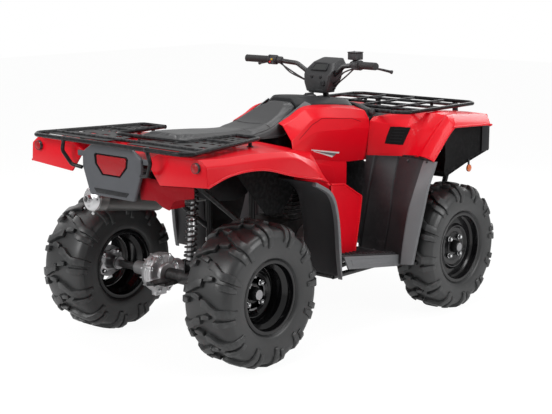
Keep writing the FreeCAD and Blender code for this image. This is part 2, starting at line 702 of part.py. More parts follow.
def swingarm():
    """The arm that carries the rear shaft: cross housing, drive tube, stay and pivot."""
    x, z = REAR_AXLE_X, AXLE_Z
    pieces = [cylinder_y(x, z, 30, -232, 39.7)]
    pieces.append(rod(Vector(x + 110.3, 100, z), Vector(PIVOT_X - 17, 100, PIVOT_Z), 32))
    pieces.append(tube([Vector(x, -150, z), Vector(x + 110, -150, z), Vector(PIVOT_X - 60, -96, PIVOT_Z),
                        Vector(PIVOT_X, -96, PIVOT_Z)], 20, 60))
    pieces.append(cylinder_y(PIVOT_X, PIVOT_Z, 34, -115.7, 115.7))
    for y in (SHOCK_Y - 22, SHOCK_Y + 15):
        ear = [(x - 18, z + 20), (x + 18, z + 20), (x + 14, z + 78), (x - 14, z + 78)]
        pieces.append(side_prism(ear, y, y + 7))
    pieces.append(cylinder_y(x, z + 68, SHOCK_PIN, SHOCK_Y - 20, SHOCK_Y + 20))
    # hitch bracket
    pieces.append(box((x - 96, -32, z - 24), (x - 20, 32, z - 12)))
    bore = cylinder_y(x, z, AXLE_RADIUS + RUNNING_GAP, -300, 300)
    return fuse(pieces).cut(bore)


def rear_shock():
    """The coil-over unit over the axle housing, right of the middle."""
    foot = Vector(REAR_AXLE_X, SHOCK_Y, AXLE_Z + 68)
    head = Vector(-640, SHOCK_Y, 704)
    return shock(foot, head, 27, Vector(0, 1, 0))


def front_drive():
    """The front differential, its half shafts with boots and the drive shaft from the engine."""
    x, z = FRONT_AXLE_X, AXLE_Z
    pieces = [Part.makeSphere(66, Vector(x, 0, z)), cylinder_y(x, z, 42, -80, 80)]
    pieces.append(rod(Vector(x - 30, 0, z - 4), Vector(x - 96, 0, z - 4), 30))
    pieces.append(rod(Vector(x - 90, 0, z - 4), Vector(262, 0, 285), 14))
    pieces.append(rod(Vector(235.3, 0, 285), Vector(266, 0, 285), 24))
    for s in (-1, 1):
        pieces.append(rod(Vector(x, 0, z), Vector(x, s * 404, z), 12))
        for near, far, big, small in ((84, 150, 36, 16), (404, 340, 34, 16)):
            way = Vector(0, 1 if far > near else -1, 0) * s
            pieces.append(Part.makeCone(big, small, abs(far - near), Vector(x, s * near, z), way))
    return fuse(pieces)


def front_guard():
    """The tubular bumper."""
    pieces = []
    for s in (-1, 1):
        pieces.append(tube([Vector(780, s * 84, 250), Vector(880, s * 110, 262), Vector(1035, s * 165, 420),
                            Vector(1041, s * 215, 640), Vector(1041, s * 240, 790),
                            Vector(1030, s * 240, 907.7)], TUBE, 60))
        pieces.append(box((776.7, s * 84 - 16, 236), (788, s * 84 + 16, 264)))
    for y, z in ((178, 470), (214, 640), (238, 780)):
        pieces.append(rod(Vector(1040, -y, z), Vector(1040, y, z), 11))
    return fuse(pieces)


# Bodywork and carriers


def slanted(front, slope, line):
    """Points (x, y, z) for pairs (y, z) on an upright plane that runs rearwards as y grows."""
    return [(front - slope * (y - 200), y, z) for y, z in line]


def rear_fender():
    """The rear deck, with the channel for the seat, its outer lips and its back faces."""
    half_lines = [
        (-988, [(522, 772), (516, 850), (480, 876), (250, 872), (185, 846)]),
        (-870, [(528, 806), (520, 846), (485, 868), (245, 870), (180, 846)]),
        (-700, [(530, 806), (520, 846), (485, 866), (235, 870), (170, 846)]),
        (-500, [(505, 756), (512, 830), (480, 852), (230, 866), (165, 846)]),
        (-400, [(500, 734), (505, 790), (470, 822), (225, 852), (160, 846)]),
        (-310, [(490, 716), (488, 738), (455, 790), (222, 830), (158, 842)]),
    ]
    crease = slanted(-30, 0.81, [(470, 692), (462, 703), (400, 722), (245, 764), (199, 772)])
    foot = slanted(4, 0.82, [(469, 678), (461, 679), (400, 681), (245, 686), (199, 688)])
    stations = []
    for x, half in half_lines:
        left = [(x, y, z) for y, z in half]
        stations.append(left + [(x, -y, z) for x, y, z in reversed(left)])
    skin = panel(stations, WALL, 0, (-600, 0, 400), True)
    # each front corner folds down to the leg guard along a slanting crease
    last = half_lines[-1][0]
    edge = [(last, y, z) for y, z in half_lines[-1][1]]
    wings = [panel(pair, WALL, 0, (-600, 0, 400), True) for pair in ([edge, crease], [crease, foot])]
    pieces = [skin] + wings + [mirrored(w) for w in wings]
    for s in (1, -1):
        back = [(521 * s, 772), (514 * s, 850), (479 * s, 875), (250 * s, 871), (186 * s, 845),
                (262 * s, 754)]
        pieces.append(front_prism(back, -996, -987))
        well = [(-640, 864), (-232, 792), (-255, 700), (-330, 664), (-430, 662), (-560, 700), (-640, 790)]
        low, high = (296, 300) if s > 0 else (-300, -296)
        pieces.append(side_prism(well, low, high))
    side = side_panel()
    return fuse(pieces).cut([side, mirrored(side)])


def seat():
    """The seat, from its flat rear end to the horn against the tank cover."""
    sections = [
        (-761, 128, 846.3, 884), (-735, 148, 846.3, 906), (-560, 150, 846.3, 898), (-363, 146, 846.3, 889),
        (-290, 140, 846.3, 891), (-200, 128, 842, 906), (-120, 112, 842, 936), (-40, 96, 880, 972),
        (4, 84, 920, 990),
    ]
    wires = []
    for x, half, low, high in sections:
        top = high - 26
        ring = [(half - 4, low), (half, low + 12), (half, top), (half - 30, high)]
        ring = [Vector(x, y, z) for y, z in ring] + [Vector(x, -y, z) for y, z in reversed(ring)]
        wires.append(Part.makePolygon(ring + [ring[0]]))
    return Part.makeLoft(wires, True, True)


def tank_cover():
    """The cover over the tank, with the cap's recess and the column's hole."""
    sections = [
        (4.3, 88, 905, 996), (60, 122, 905, 1000), (200, 122, 900, 990), (345, 122, 880, 972),
        (392, 110, 880, 955),
    ]
    wires = []
    for x, half, low, high in sections:
        ring = [(half, low), (half, high - 30), (half - 34, high)]
        ring = [Vector(x, y, z) for y, z in ring] + [Vector(x, -y, z) for y, z in reversed(ring)]
        wires.append(Part.makePolygon(ring + [ring[0]]))
    body = Part.makeLoft(wires, True, True)
    cuts = [rod(column_point(1060), column_point(820), COLUMN_RADIUS + 9)]
    cuts.append(Part.makeCylinder(CAP_RADIUS + 6, 60, Vector(CAP_X, 0, CAP_Z)))
    return body.cut(cuts)


def side_panel():
    """The left red panel beside the tank, and the body side that runs down from it."""
    stations = [
        (-156, [(122, 906), (148, 897), (200, 832), (206, 800), (204, 770)]),
        (-85, [(121.5, 930), (152, 920), (200, 873), (209, 835), (206, 750)]),
        (15, [(122.3, 966), (152, 957), (198, 917), (211, 860), (206, 735)]),
        (200, [(122.3, 958), (160, 948), (203, 903), (213, 850), (204, 704)]),
        (300, [(122.3, 948), (172, 934), (207, 893), (214, 848), (203, 698)]),
        (372, [(122.3, 938), (186, 922), (212, 884), (214.7, 840), (202, 694)]),
    ]
    skin = panel([[(x, y, z) for y, z in line] for x, line in stations], WALL, 0, (100, 0, 800), True)
    skirt = side_prism([(-150, 790), (215, 712), (222, 690), (220, 598), (205, 560), (-60, 560), (-165, 690)],
                       199, 203)
    return fuse([skin, skirt]).cut([tank_cover(), seat()])


def front_fender():
    """The left front wing over its wheel, from the leg shield's top forwards to the lamps."""
    lines = [
        (215, [(354, 694), (374, 875), (400, 893), (700, 898), (985, 872), (1000, 838)]),
        (350, [(439, 717), (515, 838), (600, 905), (680, 908), (984, 876), (1000, 840)]),
        (450, [(415, 727), (545, 840), (636, 897), (690, 900), (984, 873), (998, 838)]),
        (490, [(390, 737), (520, 850), (592, 902), (640, 902), (930, 879), (945, 842)]),
        (535, [(388, 730), (500, 838), (560, 880), (590, 884), (880, 862), (892, 842)]),
        (565, [(388, 719), (492, 816), (545, 855), (560, 858), (836, 844), (844, 838)]),
    ]
    return panel([[(x, y, z) for x, z in line] for y, line in lines], WALL, 0, (650, 400, 500), True)


def front_cover():
    """The black centre deck under the front carrier and the nose with its grille."""
    deck = panel([
        [(405, y, 880 if abs(y) > 100 else 905), (560, y, 890 if abs(y) > 100 else 905),
         (985, y, 868), (1003, y, 835)]
        for y in (-214.7, -150, 0, 150, 214.7)
    ], WALL, 0, (650, 0, 500), True)
    # the cowl that closes the deck against the tank cover
    shoulder = front_prism([(122.6, 878), (208, 878), (206, 886), (188, 926), (140, 942), (122.6, 944)],
                           372.3, 420)
    bridge = front_prism([(-123, 878), (123, 878), (123, 944), (60, 952), (-60, 952), (-123, 944)],
                         392.5, 420)
    return fuse([deck, shoulder, mirrored(shoulder), bridge])


def fascia():
    """The nose below the wings: a curved band with lamp openings and a barred grille."""
    outer = [(900, 488), (970, 488), (1002, 440), (1010, 200), (1010, -200), (1002, -440), (970, -488),
             (900, -488)]
    inner = [(900, -480), (965, -480), (992, -436), (998, -200), (998, 200), (992, 436), (965, 480),
             (900, 480)]
    liner = side_prism([(966, 836), (968, 704), (764, 657), (606, 612), (590, 640), (600, 700), (596, 780),
                        (640, 836), (760, 850)], 480, 484)
    skin = fuse([plan_prism(outer + inner, 700, 836), liner, mirrored(liner)])
    cuts = []
    for s in (-1, 1):
        near, far = sorted((s * 250, s * 410))
        cuts.append(box((980, near, 735), (1040, far, 805)))
    for i in range(7):
        z = 716 + 14 * i
        cuts.append(box((980, -150, z), (1040, 150, z + 8)))
    wing = front_fender()
    return skin.cut(cuts + [front_cover(), wing, mirrored(wing)])


def headlamps():
    """The two headlamps with their bowls."""
    lamp = box((985, 250.3, 735.3), (1012, 409.7, 804.7))
    back = Part.makeCone(22, 40, 50, Vector(936, 330, 770), Vector(1, 0, 0))
    return both(fuse([lamp, back]))


def leg_shield():
    """The left front mudguard: a tall curved sheet behind the wheel, from the step to the wing."""
    levels = [
        (262, [(296, 215), (280, 330), (246, 500), (270, 542)]),
        (360, [(304, 215), (285, 340), (247, 510), (285, 552)]),
        (500, [(318, 215), (300, 345), (267, 520), (312, 565)]),
        (600, [(330, 215), (345, 348), (312, 522), (337, 570)]),
        (690, [(346, 215), (412, 345), (375, 512), (378, 574)]),
        (720, [(352, 215), (430, 345), (398, 510), (391, 574)]),
    ]
    skin = panel([[(x, y, z) for x, y in line] for z, line in levels], WALL, 0, (600, 300, 450), True)
    return skin.cut([front_fender(), side_panel()])


def step_height(x):
    """Height of the step's top, which rises towards the rear."""
    return 300.0 + (282 - x) * 0.144


def footwell():
    """The left step: a sloping tread plate with bars across it and a deep outer skirt."""
    def slab(front, rear, low, high, above, below):
        line = [(front, step_height(front) + above), (rear, step_height(rear) + above),
                (rear, step_height(rear) - below), (front, step_height(front) - below)]
        return side_prism(line, low, high)
    plan = plan_prism([(-176, 196), (282, 196), (268, 330), (240, 478), (-140, 478), (-150, 300)], 200, 500)
    plate = slab(290, -180, 190, 486, 0, 6).common(plan)
    skirt = side_prism([(258, 306), (-140, 365), (-108, 308), (256, 254)], 478, 486)
    ribs = [slab(-108 + 44 * i, -120 + 44 * i, 230, 450, 4, 0) for i in range(8)]
    return fuse([plate, skirt] + ribs).cut(leg_shield())


def rear_guard():
    """The left mudguard ahead of the rear wheel: a curved sheet."""
    line = [(-352, 712), (-250, 655), (-206, 560), (-188, 420), (-184, 286)]
    return panel([[(x, y, z) for x, z in line] for y in (300.3, 486)], WALL, 0, (-600, 300, 300), True)


def rear_flare():
    """The grey flange along the outer edge of the rear mudguard."""
    line = [(-352, 712), (-250, 655), (-206, 560), (-188, 420), (-178, 270)]
    return panel([[(x, y, z) for x, z in line] for y in (486.3, 508)], 16, 0, (-600, 300, 300), True)


def leg_guard():
    """The left red guard ahead of the rear wheel, which slants in towards the engine."""
    line = [(-287, 462), (-205, 462), (-38, 400), (100, 361), (150, 350)]
    plan = plan_prism(line + [(x - 1, y - WALL) for x, y in reversed(line)], 340, 690)
    outline = [(-287, 679), (-205, 681), (-38, 654), (145, 572), (126, 480), (80, 329), (-175, 366),
               (-200, 540)]
    sheet = plan.common(side_prism(outline, 300, 500)).cut([rear_guard(), footwell(), rear_fender()])
    return max(sheet.Solids, key=lambda solid: solid.Volume)


TAIL_HALF = 174.0
LENS = [(-88, 842), (88, 842), (84, 806), (48, 768), (-48, 768), (-84, 806)]


def tail_panel():
    """The grey panel at the rear centre, with the lamp's recess."""
    outline = [(-120, 880), (120, 880), (TAIL_HALF, 846), (TAIL_HALF, 786), (131, 676), (-131, 676),
               (-TAIL_HALF, 786), (-TAIL_HALF, 846)]
    plate = front_prism(outline, -1012, -997, 12)
    recess = front_prism([(y * 1.18, 805 + (z - 805) * 1.18) for y, z in LENS], -1013, -1006, 6)
    flange = box((-1001, -215, 826), (-996 - SEAT_GAP, 215, 848))
    return plate.cut(recess).fuse(flange).removeSplitter()


def tail_lamp():
    """The red lens in the tail panel's recess."""
    return front_prism(LENS, -1012, -1006, 6)


def rear_rack():
    """The rear carrier: loop, cross bars, pierced plates, posts and hooked supports."""
    z = RACK_Z + 4
    outer = [(-520, 215), (-520, 345), (-1004, 462), (-1055 + RACK_TUBE, 425)]
    loop = [Vector(x, y, z) for x, y in outer] + [Vector(x, -y, z) for x, y in reversed(outer)]
    pieces = [tube(loop, RACK_TUBE, 28)]
    ring = [Vector(-520, 215, z), Vector(-812, 200, z), Vector(-812, -200, z), Vector(-520, -215, z)]
    pieces.append(tube(ring, RACK_TUBE, 40))
    pieces.append(rod(Vector(-925, -440, z), Vector(-925, 440, z), 7))
    for s in (-1, 1):
        pieces.append(rod(Vector(-700, s * 206, z), Vector(-700, s * 388, z), 7))
        pieces.append(rod(Vector(-520, s * 210, z), Vector(-520, s * 218, z), RACK_TUBE))
        plate = plan_prism([(-560, s * 212), (-560, s * 350), (-980, s * 452), (-980, s * 60), (-818, s * 60),
                            (-818, s * 206)], z - 3, z, 0)
        holes = []
        for i in range(5):
            for j in range(3):
                x, y = -600 - 74 * i, s * (240 + 44 * j)
                holes.append(plan_prism([(x, y - 13), (x - 46, y - 13), (x - 46, y + 13), (x, y + 13)],
                                        z - 5, z + 5, 8))
        pieces.append(plate.cut(holes))
        for x, y, top in ((-560, 240, 868), (-900, 300, 874), (-560, 330, 862)):
            pieces.append(Part.makeCylinder(8, z - top - 2, Vector(x, s * y, top + 2)))
        # the hooked support beside the tail panel
        hook = [Vector(-1046, s * 246, z), Vector(-1042, s * 262, 846), Vector(-1024, s * 226, 790),
                Vector(-1005, s * 160, 780)]
        pieces.append(tube(hook, 8, 24).cut(tail_panel()))
    return fuse(pieces)


def front_rack():
    """The front carrier: loop, cross bars and posts."""
    z = 917
    outer = [(430, 300), (470, 372), (990, 372), (1030 - 4, 330)]
    loop = [Vector(x, y, z) for x, y in outer] + [Vector(x, -y, z) for x, y in reversed(outer)]
    pieces = [tube(loop, RACK_TUBE, 30)]
    pieces.append(rod(Vector(432, -300, z), Vector(432, 300, z), RACK_TUBE))
    for x in (560, 720, 880):
        pieces.append(rod(Vector(x, -372, z), Vector(x, 372, z), 7))
    for y in (-180, 0, 180):
        pieces.append(rod(Vector(560, y, z), Vector(1022, y, z), 6))
    for s in (-1, 1):
        for x, top in ((560, 892), (880, 880)):
            pieces.append(Part.makeCylinder(8, z - top - 2, Vector(x, s * 205, top + 2)))
    return fuse(pieces)


def reflectors():
    """The round red reflectors at the rear corners."""
    return both(Part.makeCylinder(20, 12, Vector(-996.3 - 12, 466, 843), Vector(1, 0, 0)))


def front_reflectors():
    """The amber reflectors on tabs below the front wings."""
    return both(fuse([cylinder_y(792, 634, 18, 484.3, 494), box((786, 484.3, 640), (798, 488, 676))]))


def tank_cap():
    """The fuel cap, flush in its round recess."""
    knob = Part.makeCylinder(CAP_RADIUS, 12, Vector(CAP_X, 0, CAP_Z + SEAT_GAP))
    grip = box((CAP_X - 28, -8, CAP_Z + 6), (CAP_X + 28, 8, CAP_Z + 20))
    return fuse([knob, grip])


def hitch():
    """The tow tongue behind the axle housing, with its ball hole and safety-chain holes."""
    x, z = REAR_AXLE_X, AXLE_Z
    plate = plan_prism([(x - 60, 32), (x - 60, -32), (x - 150, -24), (x - 168, 0), (x - 150, 24)],
                       z - 11.7, z - 3.7, 4)
    bore = Part.makeCylinder(9.5, 40, Vector(x - 138, 0, z - 30))
    return plate.cut(bore)


def build():
    """Every node by name."""
    rear_rim = rim(REAR_RIM_WIDTH, REAR_BEAD_RADIUS, REAR_DISC_DEPTH, [])
    front_rim = rim(FRONT_RIM_WIDTH, FRONT_BEAD_RADIUS, FRONT_DISC_DEPTH, [(112, 9)])
    rear_tyre = tyre(REAR_TYRE_WIDTH, REAR_RIM_WIDTH, REAR_BEAD_RADIUS)
    front_tyre = tyre(FRONT_TYRE_WIDTH, FRONT_RIM_WIDTH, FRONT_BEAD_RADIUS)
    hub = front_hub()
    nodes = {
        "frame_left": frame_side(), "frame_right": mirrored(frame_side()), "frame_cross": frame_cross(),
        "engine": engine(), "exhaust": exhaust(), "final_drive": final_drive(),
        "swingarm": swingarm(), "rear_shock": rear_shock(), "rear_axle": rear_axle(),
        "front_drive": front_drive(), "front_arms": front_arms(), "front_shocks": both(front_shock()),
        "front_guard": front_guard(), "rear_fender": rear_fender(), "seat": seat(),
        "tank_cover": tank_cover(), "side_panels": both(side_panel()), "front_fenders": both(front_fender()),
        "front_cover": front_cover(), "fascia": fascia(), "headlamps": headlamps(),
        "leg_shields": both(leg_shield()), "footwells": both(footwell()), "rear_guards": both(rear_guard()),
        "rear_flares": both(rear_flare()), "leg_guards": both(leg_guard()), "tail_panel": tail_panel(),
        "tail_lamp": tail_lamp(), "rear_rack": rear_rack(), "front_rack": front_rack(),
        "reflectors": reflectors(), "front_reflectors": front_reflectors(),
        "tank_cap": tank_cap(), "hitch": hitch(), "steering_column": steering_column(),
        "handlebar": handlebar(), "grips": grips(), "controls_left": controls(1),
        "controls_right": controls(-1), "console": console(),
    }
    for name, side in (("left", 1), ("right", -1)):
        nodes["rear_rim_" + name] = wheel_side(rear_rim, side, REAR_AXLE_X, REAR_Y)
        nodes["rear_tyre_" + name] = wheel_side(rear_tyre, side, REAR_AXLE_X, REAR_Y)
        nodes["front_rim_" + name] = wheel_side(front_rim, side, FRONT_AXLE_X, FRONT_Y)
        nodes["front_tyre_" + name] = wheel_side(front_tyre, side, FRONT_AXLE_X, FRONT_Y)
        nodes["front_hub_" + name] = wheel_side(hub, side, FRONT_AXLE_X, FRONT_Y)
        nodes["knuckle_" + name] = knuckle() if side > 0 else mirrored(knuckle())
        nodes["tie_rod_" + name] = tie_rod() if side > 0 else mirrored(tie_rod())
    return nodes


os.makedirs("parts", exist_ok=True)
for name, shape in build().items():
    shape.exportStep("parts/" + name + ".step")
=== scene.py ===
"""Looks of a red utility quad bike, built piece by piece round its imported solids.

Every length in a class is in millimetres, in the frame of the solids: +X forwards, +Y to the
rider's left and +Z up. Left-hand pieces are drawn, and their twins are mirrored.
"""

import logging
import math
from collections.abc import Callable, Sequence
from dataclasses import dataclass, field
from enum import Enum
from functools import reduce

import bmesh
import bpy
from mathutils import Matrix, Vector


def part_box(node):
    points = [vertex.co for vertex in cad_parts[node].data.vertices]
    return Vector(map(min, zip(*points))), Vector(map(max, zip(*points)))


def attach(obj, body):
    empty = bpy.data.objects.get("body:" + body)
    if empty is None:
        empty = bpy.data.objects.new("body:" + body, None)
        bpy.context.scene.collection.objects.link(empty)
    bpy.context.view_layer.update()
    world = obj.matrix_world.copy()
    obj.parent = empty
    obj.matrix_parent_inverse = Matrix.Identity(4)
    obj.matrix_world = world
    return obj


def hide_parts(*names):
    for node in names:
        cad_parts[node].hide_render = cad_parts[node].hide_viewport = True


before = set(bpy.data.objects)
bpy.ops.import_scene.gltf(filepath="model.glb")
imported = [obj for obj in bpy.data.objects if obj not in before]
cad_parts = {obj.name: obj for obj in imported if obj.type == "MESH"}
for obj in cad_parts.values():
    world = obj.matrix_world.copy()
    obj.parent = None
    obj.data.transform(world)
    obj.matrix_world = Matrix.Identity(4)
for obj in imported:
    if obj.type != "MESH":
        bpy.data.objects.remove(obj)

log = logging.getLogger("quad")
MM = 0.001
Point = Sequence[float]
Line = Sequence[Point]
Piece = bpy.types.Object
Tree = bpy.types.NodeTree
Node = bpy.types.Node
Socket = bpy.types.NodeSocket

REAR_AXLE_X, FRONT_AXLE_X = -665.0, 602.0
REAR_WHEEL_Y, FRONT_WHEEL_Y = 432.0, 497.5
PANEL_WALL = 4.0
EDGE_BREAKUP = 60.0
MERGE_DISTANCE = 0.00002
CRISP_ANGLE = 38.0


class Slot(Enum):
    """The record's material slots."""

    FRAME = "frame_paint"
    ENGINE = "engine_castings"
    EXHAUST = "exhaust_metal"
    SHOCK = "shock_steel"
    RED = "body_red"
    SEAT = "seat_cover"
    DARK = "dark_plastic"
    GREY = "grey_plastic"
    RACK = "rack_paint"
    CLEAR = "lens_clear"
    RED_LENS = "lens_red"
    AMBER_LENS = "lens_amber"
    BAR = "bar_paint"
    GRIP = "grip_rubber"
    CONTROL = "control_plastic"
    STEEL = "axle_steel"
    RIM = "rim_black"
    TYRE = "tyre"


class Side(Enum):
    """Which side of the rider a piece is on."""

    LEFT = 1
    RIGHT = -1

    @property
    def word(self) -> str:
        """Return the side's name as the pieces carry it."""
        return self.name.lower()


# Shader groups that several finishes share


def feed(tree: Tree, node: Node, inputs: dict) -> Node:
    """Give a node's inputs, by name or number, their values or the sockets that they read."""
    for label, value in inputs.items():
        if isinstance(value, Socket):
            tree.links.new(value, node.inputs[label])
        else:
            node.inputs[label].default_value = value
    return node


def add_node(tree: Tree, kind: str, inputs: dict | None = None) -> Node:
    """Add a node to a tree and feed its inputs."""
    return feed(tree, tree.nodes.new(kind), inputs or {})


def shader_group(name: str, inputs: dict[str, float], outputs: Sequence[str]) -> tuple[Tree, Node]:
    """Start a shader node group whose inputs and outputs are all floats.

    Args:
        name: The group's name.
        inputs: Each input's name and default.
        outputs: Each output's name.

    Returns:
        The tree and its input node.
    """
    tree = bpy.data.node_groups.new(name, "ShaderNodeTree")
    for label, value in inputs.items():
        socket = tree.interface.new_socket(label, in_out="INPUT", socket_type="NodeSocketFloat")
        socket.default_value = value
    for label in outputs:
        tree.interface.new_socket(label, in_out="OUTPUT", socket_type="NodeSocketFloat")
    return tree, add_node(tree, "NodeGroupInput")


def object_place(tree: Tree) -> Socket:
    """Return the place of the shaded point in its object's own frame."""
    return add_node(tree, "ShaderNodeTexCoord").outputs["Object"]


def noise(tree: Tree, place: Socket, scale: float | Socket, detail: float = 4.0) -> Socket:
    """Return a noise over the given place."""
    return add_node(tree, "ShaderNodeTexNoise",
                    {"Scale": scale, "Detail": detail, "Vector": place}).outputs["Fac"]


def remap(tree: Tree, value: Socket, low: float, high: float, to_low: float = 0.0,
          to_high: float = 1.0) -> Socket:
    """Map a value from one range onto another and clamp it."""
    inputs = {"Value": value, "From Min": low, "From Max": high, "To Min": to_low, "To Max": to_high}
    return add_node(tree, "ShaderNodeMapRange", inputs).outputs["Result"]


def calculate(tree: Tree, operation: str, first: float | Socket, second: float | Socket) -> Socket:
    """Join two values or sockets with a maths operation and return its output."""
    node = tree.nodes.new("ShaderNodeMath")
    node.operation = operation
    return feed(tree, node, {0: first, 1: second}).outputs[0]


def product(tree: Tree, *factors: float | Socket) -> Socket:
    """Return the product of several values or sockets."""
    return reduce(lambda first, second: calculate(tree, "MULTIPLY", first, second), factors)


def relief(tree: Tree, height: Socket, strength: float, depth: float, under: Socket | None = None) -> Socket:
    """Return the normal of a surface raised by a height, on top of the normal under it."""
    inputs = {"Height": height, "Strength": strength, "Distance": depth}
    if under is not None:
        inputs["Normal"] = under
    return add_node(tree, "ShaderNodeBump", inputs).outputs["Normal"]


def edge_wear_group() -> Tree:
    """Build the mask of rubbed edges, which on the tyre also paints highlights: the mesh's sharp corners,
    broken up by noise.
    """
    tree, start = shader_group("edge_wear_and_highlight", {"Amount": 0.5, "Breakup": EDGE_BREAKUP}, ["Mask"])
    shape = add_node(tree, "ShaderNodeNewGeometry")
    edge = remap(tree, shape.outputs["Pointiness"], 0.515, 0.60)
    patchy = remap(tree, noise(tree, object_place(tree), start.outputs["Breakup"]), 0.42, 0.66)
    add_node(tree, "NodeGroupOutput", {"Mask": product(tree, edge, patchy, start.outputs["Amount"])})
    return tree


def grain_group() -> Tree:
    """Build the fine grain of a moulded or cast surface, as a height and a gloss mask."""
    tree, start = shader_group("fine_grain", {"Scale": 900.0, "Cell": 0.5}, ["Height", "Gloss"])
    place, scale = object_place(tree), start.outputs["Scale"]
    cells = tree.nodes.new("ShaderNodeTexVoronoi")
    cells.feature = "SMOOTH_F1"
    feed(tree, cells, {"Vector": place, "Scale": scale})
    cell_share = product(tree, cells.outputs["Distance"], start.outputs["Cell"])
    height = calculate(tree, "ADD", noise(tree, place, scale, 3.0), cell_share)
    gloss = remap(tree, noise(tree, place, 7.0, 3.0), 0.3, 0.7)
    add_node(tree, "NodeGroupOutput", {"Height": height, "Gloss": gloss})
    return tree


def dust_group() -> Tree:
    """Build the mask of settled dust: more on upward faces and low down, in patches."""
    tree, start = shader_group("settled_dust", {"Amount": 0.3, "Ceiling": 0.6}, ["Mask"])
    place, shape = object_place(tree), add_node(tree, "ShaderNodeNewGeometry")
    split = add_node(tree, "ShaderNodeSeparateXYZ", {0: place})
    facing = add_node(tree, "ShaderNodeSeparateXYZ", {0: shape.outputs["Normal"]})
    height = calculate(tree, "DIVIDE", split.outputs["Z"], start.outputs["Ceiling"])
    low = remap(tree, height, 0.0, 1.0, 1.0, 0.15)
    upward = remap(tree, facing.outputs["Z"], -0.4, 1.0, 0.35, 1.0)
    patchy = remap(tree, noise(tree, place, 22.0, 6.0), 0.38, 0.72)
    add_node(tree, "NodeGroupOutput", {"Mask": product(tree, low, upward, patchy, start.outputs["Amount"])})
    return tree


EDGE_WEAR_AND_HIGHLIGHT = edge_wear_group()
FINE_GRAIN = grain_group()
SETTLED_DUST = dust_group()


@dataclass(frozen=True)
class Finish:
    """One surface finish, and how its material is made."""

    name: str
    colour: Point
    roughness: float = 0.5
    metallic: float = 0.0
    coat: float = 0.0
    coat_roughness: float = 0.05
    specular: float = 0.5
    sheen: float = 0.0
    shade: float = 0.08
    grain: float = 900.0
    cell: float = 0.5
    bump: float = 0.1
    bump_depth: float = 0.0002
    gloss_spread: float = 0.08
    wear_and_highlight: float = 0.3
    wear_and_highlight_colour: Point = (0.3, 0.3, 0.31)
    dust: float = 0.1
    dust_colour: Point = (0.30, 0.27, 0.23)
    dust_ceiling: float = 0.9
    transmission: float = 0.0
    extra: Callable[[Tree, Socket], Socket] | None = None

    def material(self) -> bpy.types.Material:
        """Return the finish's material, built the first time it is asked for."""
        return bpy.data.materials.get(self.name) or self.build()

    def group(self, tree: Tree, source: Tree, values: dict[str, float]) -> Node:
        """Place a shared shader group with this finish's own values."""
        node = tree.nodes.new("ShaderNodeGroup")
        node.node_tree = source
        return feed(tree, node, values)

    def blend(self, tree: Tree, mask: Socket, first: Point | Socket, second: Point) -> Socket:
        """Mix the second colour over the first where a mask says so."""
        node = tree.nodes.new("ShaderNodeMix")
        node.data_type = "RGBA"
        under = first if isinstance(first, Socket) else (*first, 1.0)
        return feed(tree, node, {"Factor": mask, 6: under, 7: (*second, 1.0)}).outputs[2]

    def build(self) -> bpy.types.Material:
        """Build the node material."""
        made = bpy.data.materials.new(self.name)
        made.use_nodes = True
        tree = made.node_tree
        surface = tree.nodes["Principled BSDF"]
        grain = self.group(tree, FINE_GRAIN, {"Scale": self.grain, "Cell": self.cell})
        wear_and_highlight = self.group(tree, EDGE_WEAR_AND_HIGHLIGHT, {"Amount": self.wear_and_highlight, "Breakup": EDGE_BREAKUP})
        dust = self.group(tree, SETTLED_DUST, {"Amount": self.dust, "Ceiling": self.dust_ceiling})
        darker = tuple(c * (1.0 - self.shade) for c in self.colour)
        colour = self.blend(tree, grain.outputs["Gloss"], self.colour, darker)
        # Edges take the wear colour: rubbed paint and rubber, and on the tyre a painted highlight as well.
        colour = self.blend(tree, wear_and_highlight.outputs["Mask"], colour, self.wear_and_highlight_colour)
        colour = self.blend(tree, dust.outputs["Mask"], colour, self.dust_colour)
        spread = remap(tree, grain.outputs["Gloss"], 0.0, 1.0, self.roughness - self.gloss_spread / 2,
                       self.roughness + self.gloss_spread / 2)
        rough = calculate(tree, "ADD", spread, product(tree, dust.outputs["Mask"], 0.5))
        normal = relief(tree, grain.outputs["Height"], self.bump, self.bump_depth)
        if self.extra:
            normal = self.extra(tree, normal)
        feed(tree, surface,
             {"Base Color": colour, "Metallic": self.metallic, "Roughness": rough, "Normal": normal,
              "Coat Weight": self.coat, "Coat Roughness": self.coat_roughness,
              "Specular IOR Level": self.specular, "Sheen Weight": self.sheen,
              "Transmission Weight": self.transmission})
        return made


def ribbed(tree: Tree, under: Socket) -> Socket:
    """Return the normal of a rubber grip's fine rings along y, on top of the one given."""
    wave = tree.nodes.new("ShaderNodeTexWave")
    wave.bands_direction = "Y"
    feed(tree, wave, {"Scale": 60.0, "Vector": object_place(tree)})
    return relief(tree, wave.outputs["Fac"], 0.6, 0.0012, under)


def prismatic(tree: Tree, under: Socket) -> Socket:
    """Return the normal of the small prisms moulded inside a lens, in place of the one given."""
    cells = tree.nodes.new("ShaderNodeTexVoronoi")
    cells.distance = "CHEBYCHEV"
    feed(tree, cells, {"Scale": 260.0, "Randomness": 0.0, "Vector": object_place(tree)})
    return relief(tree, cells.outputs["Distance"], 0.7, 0.0015)


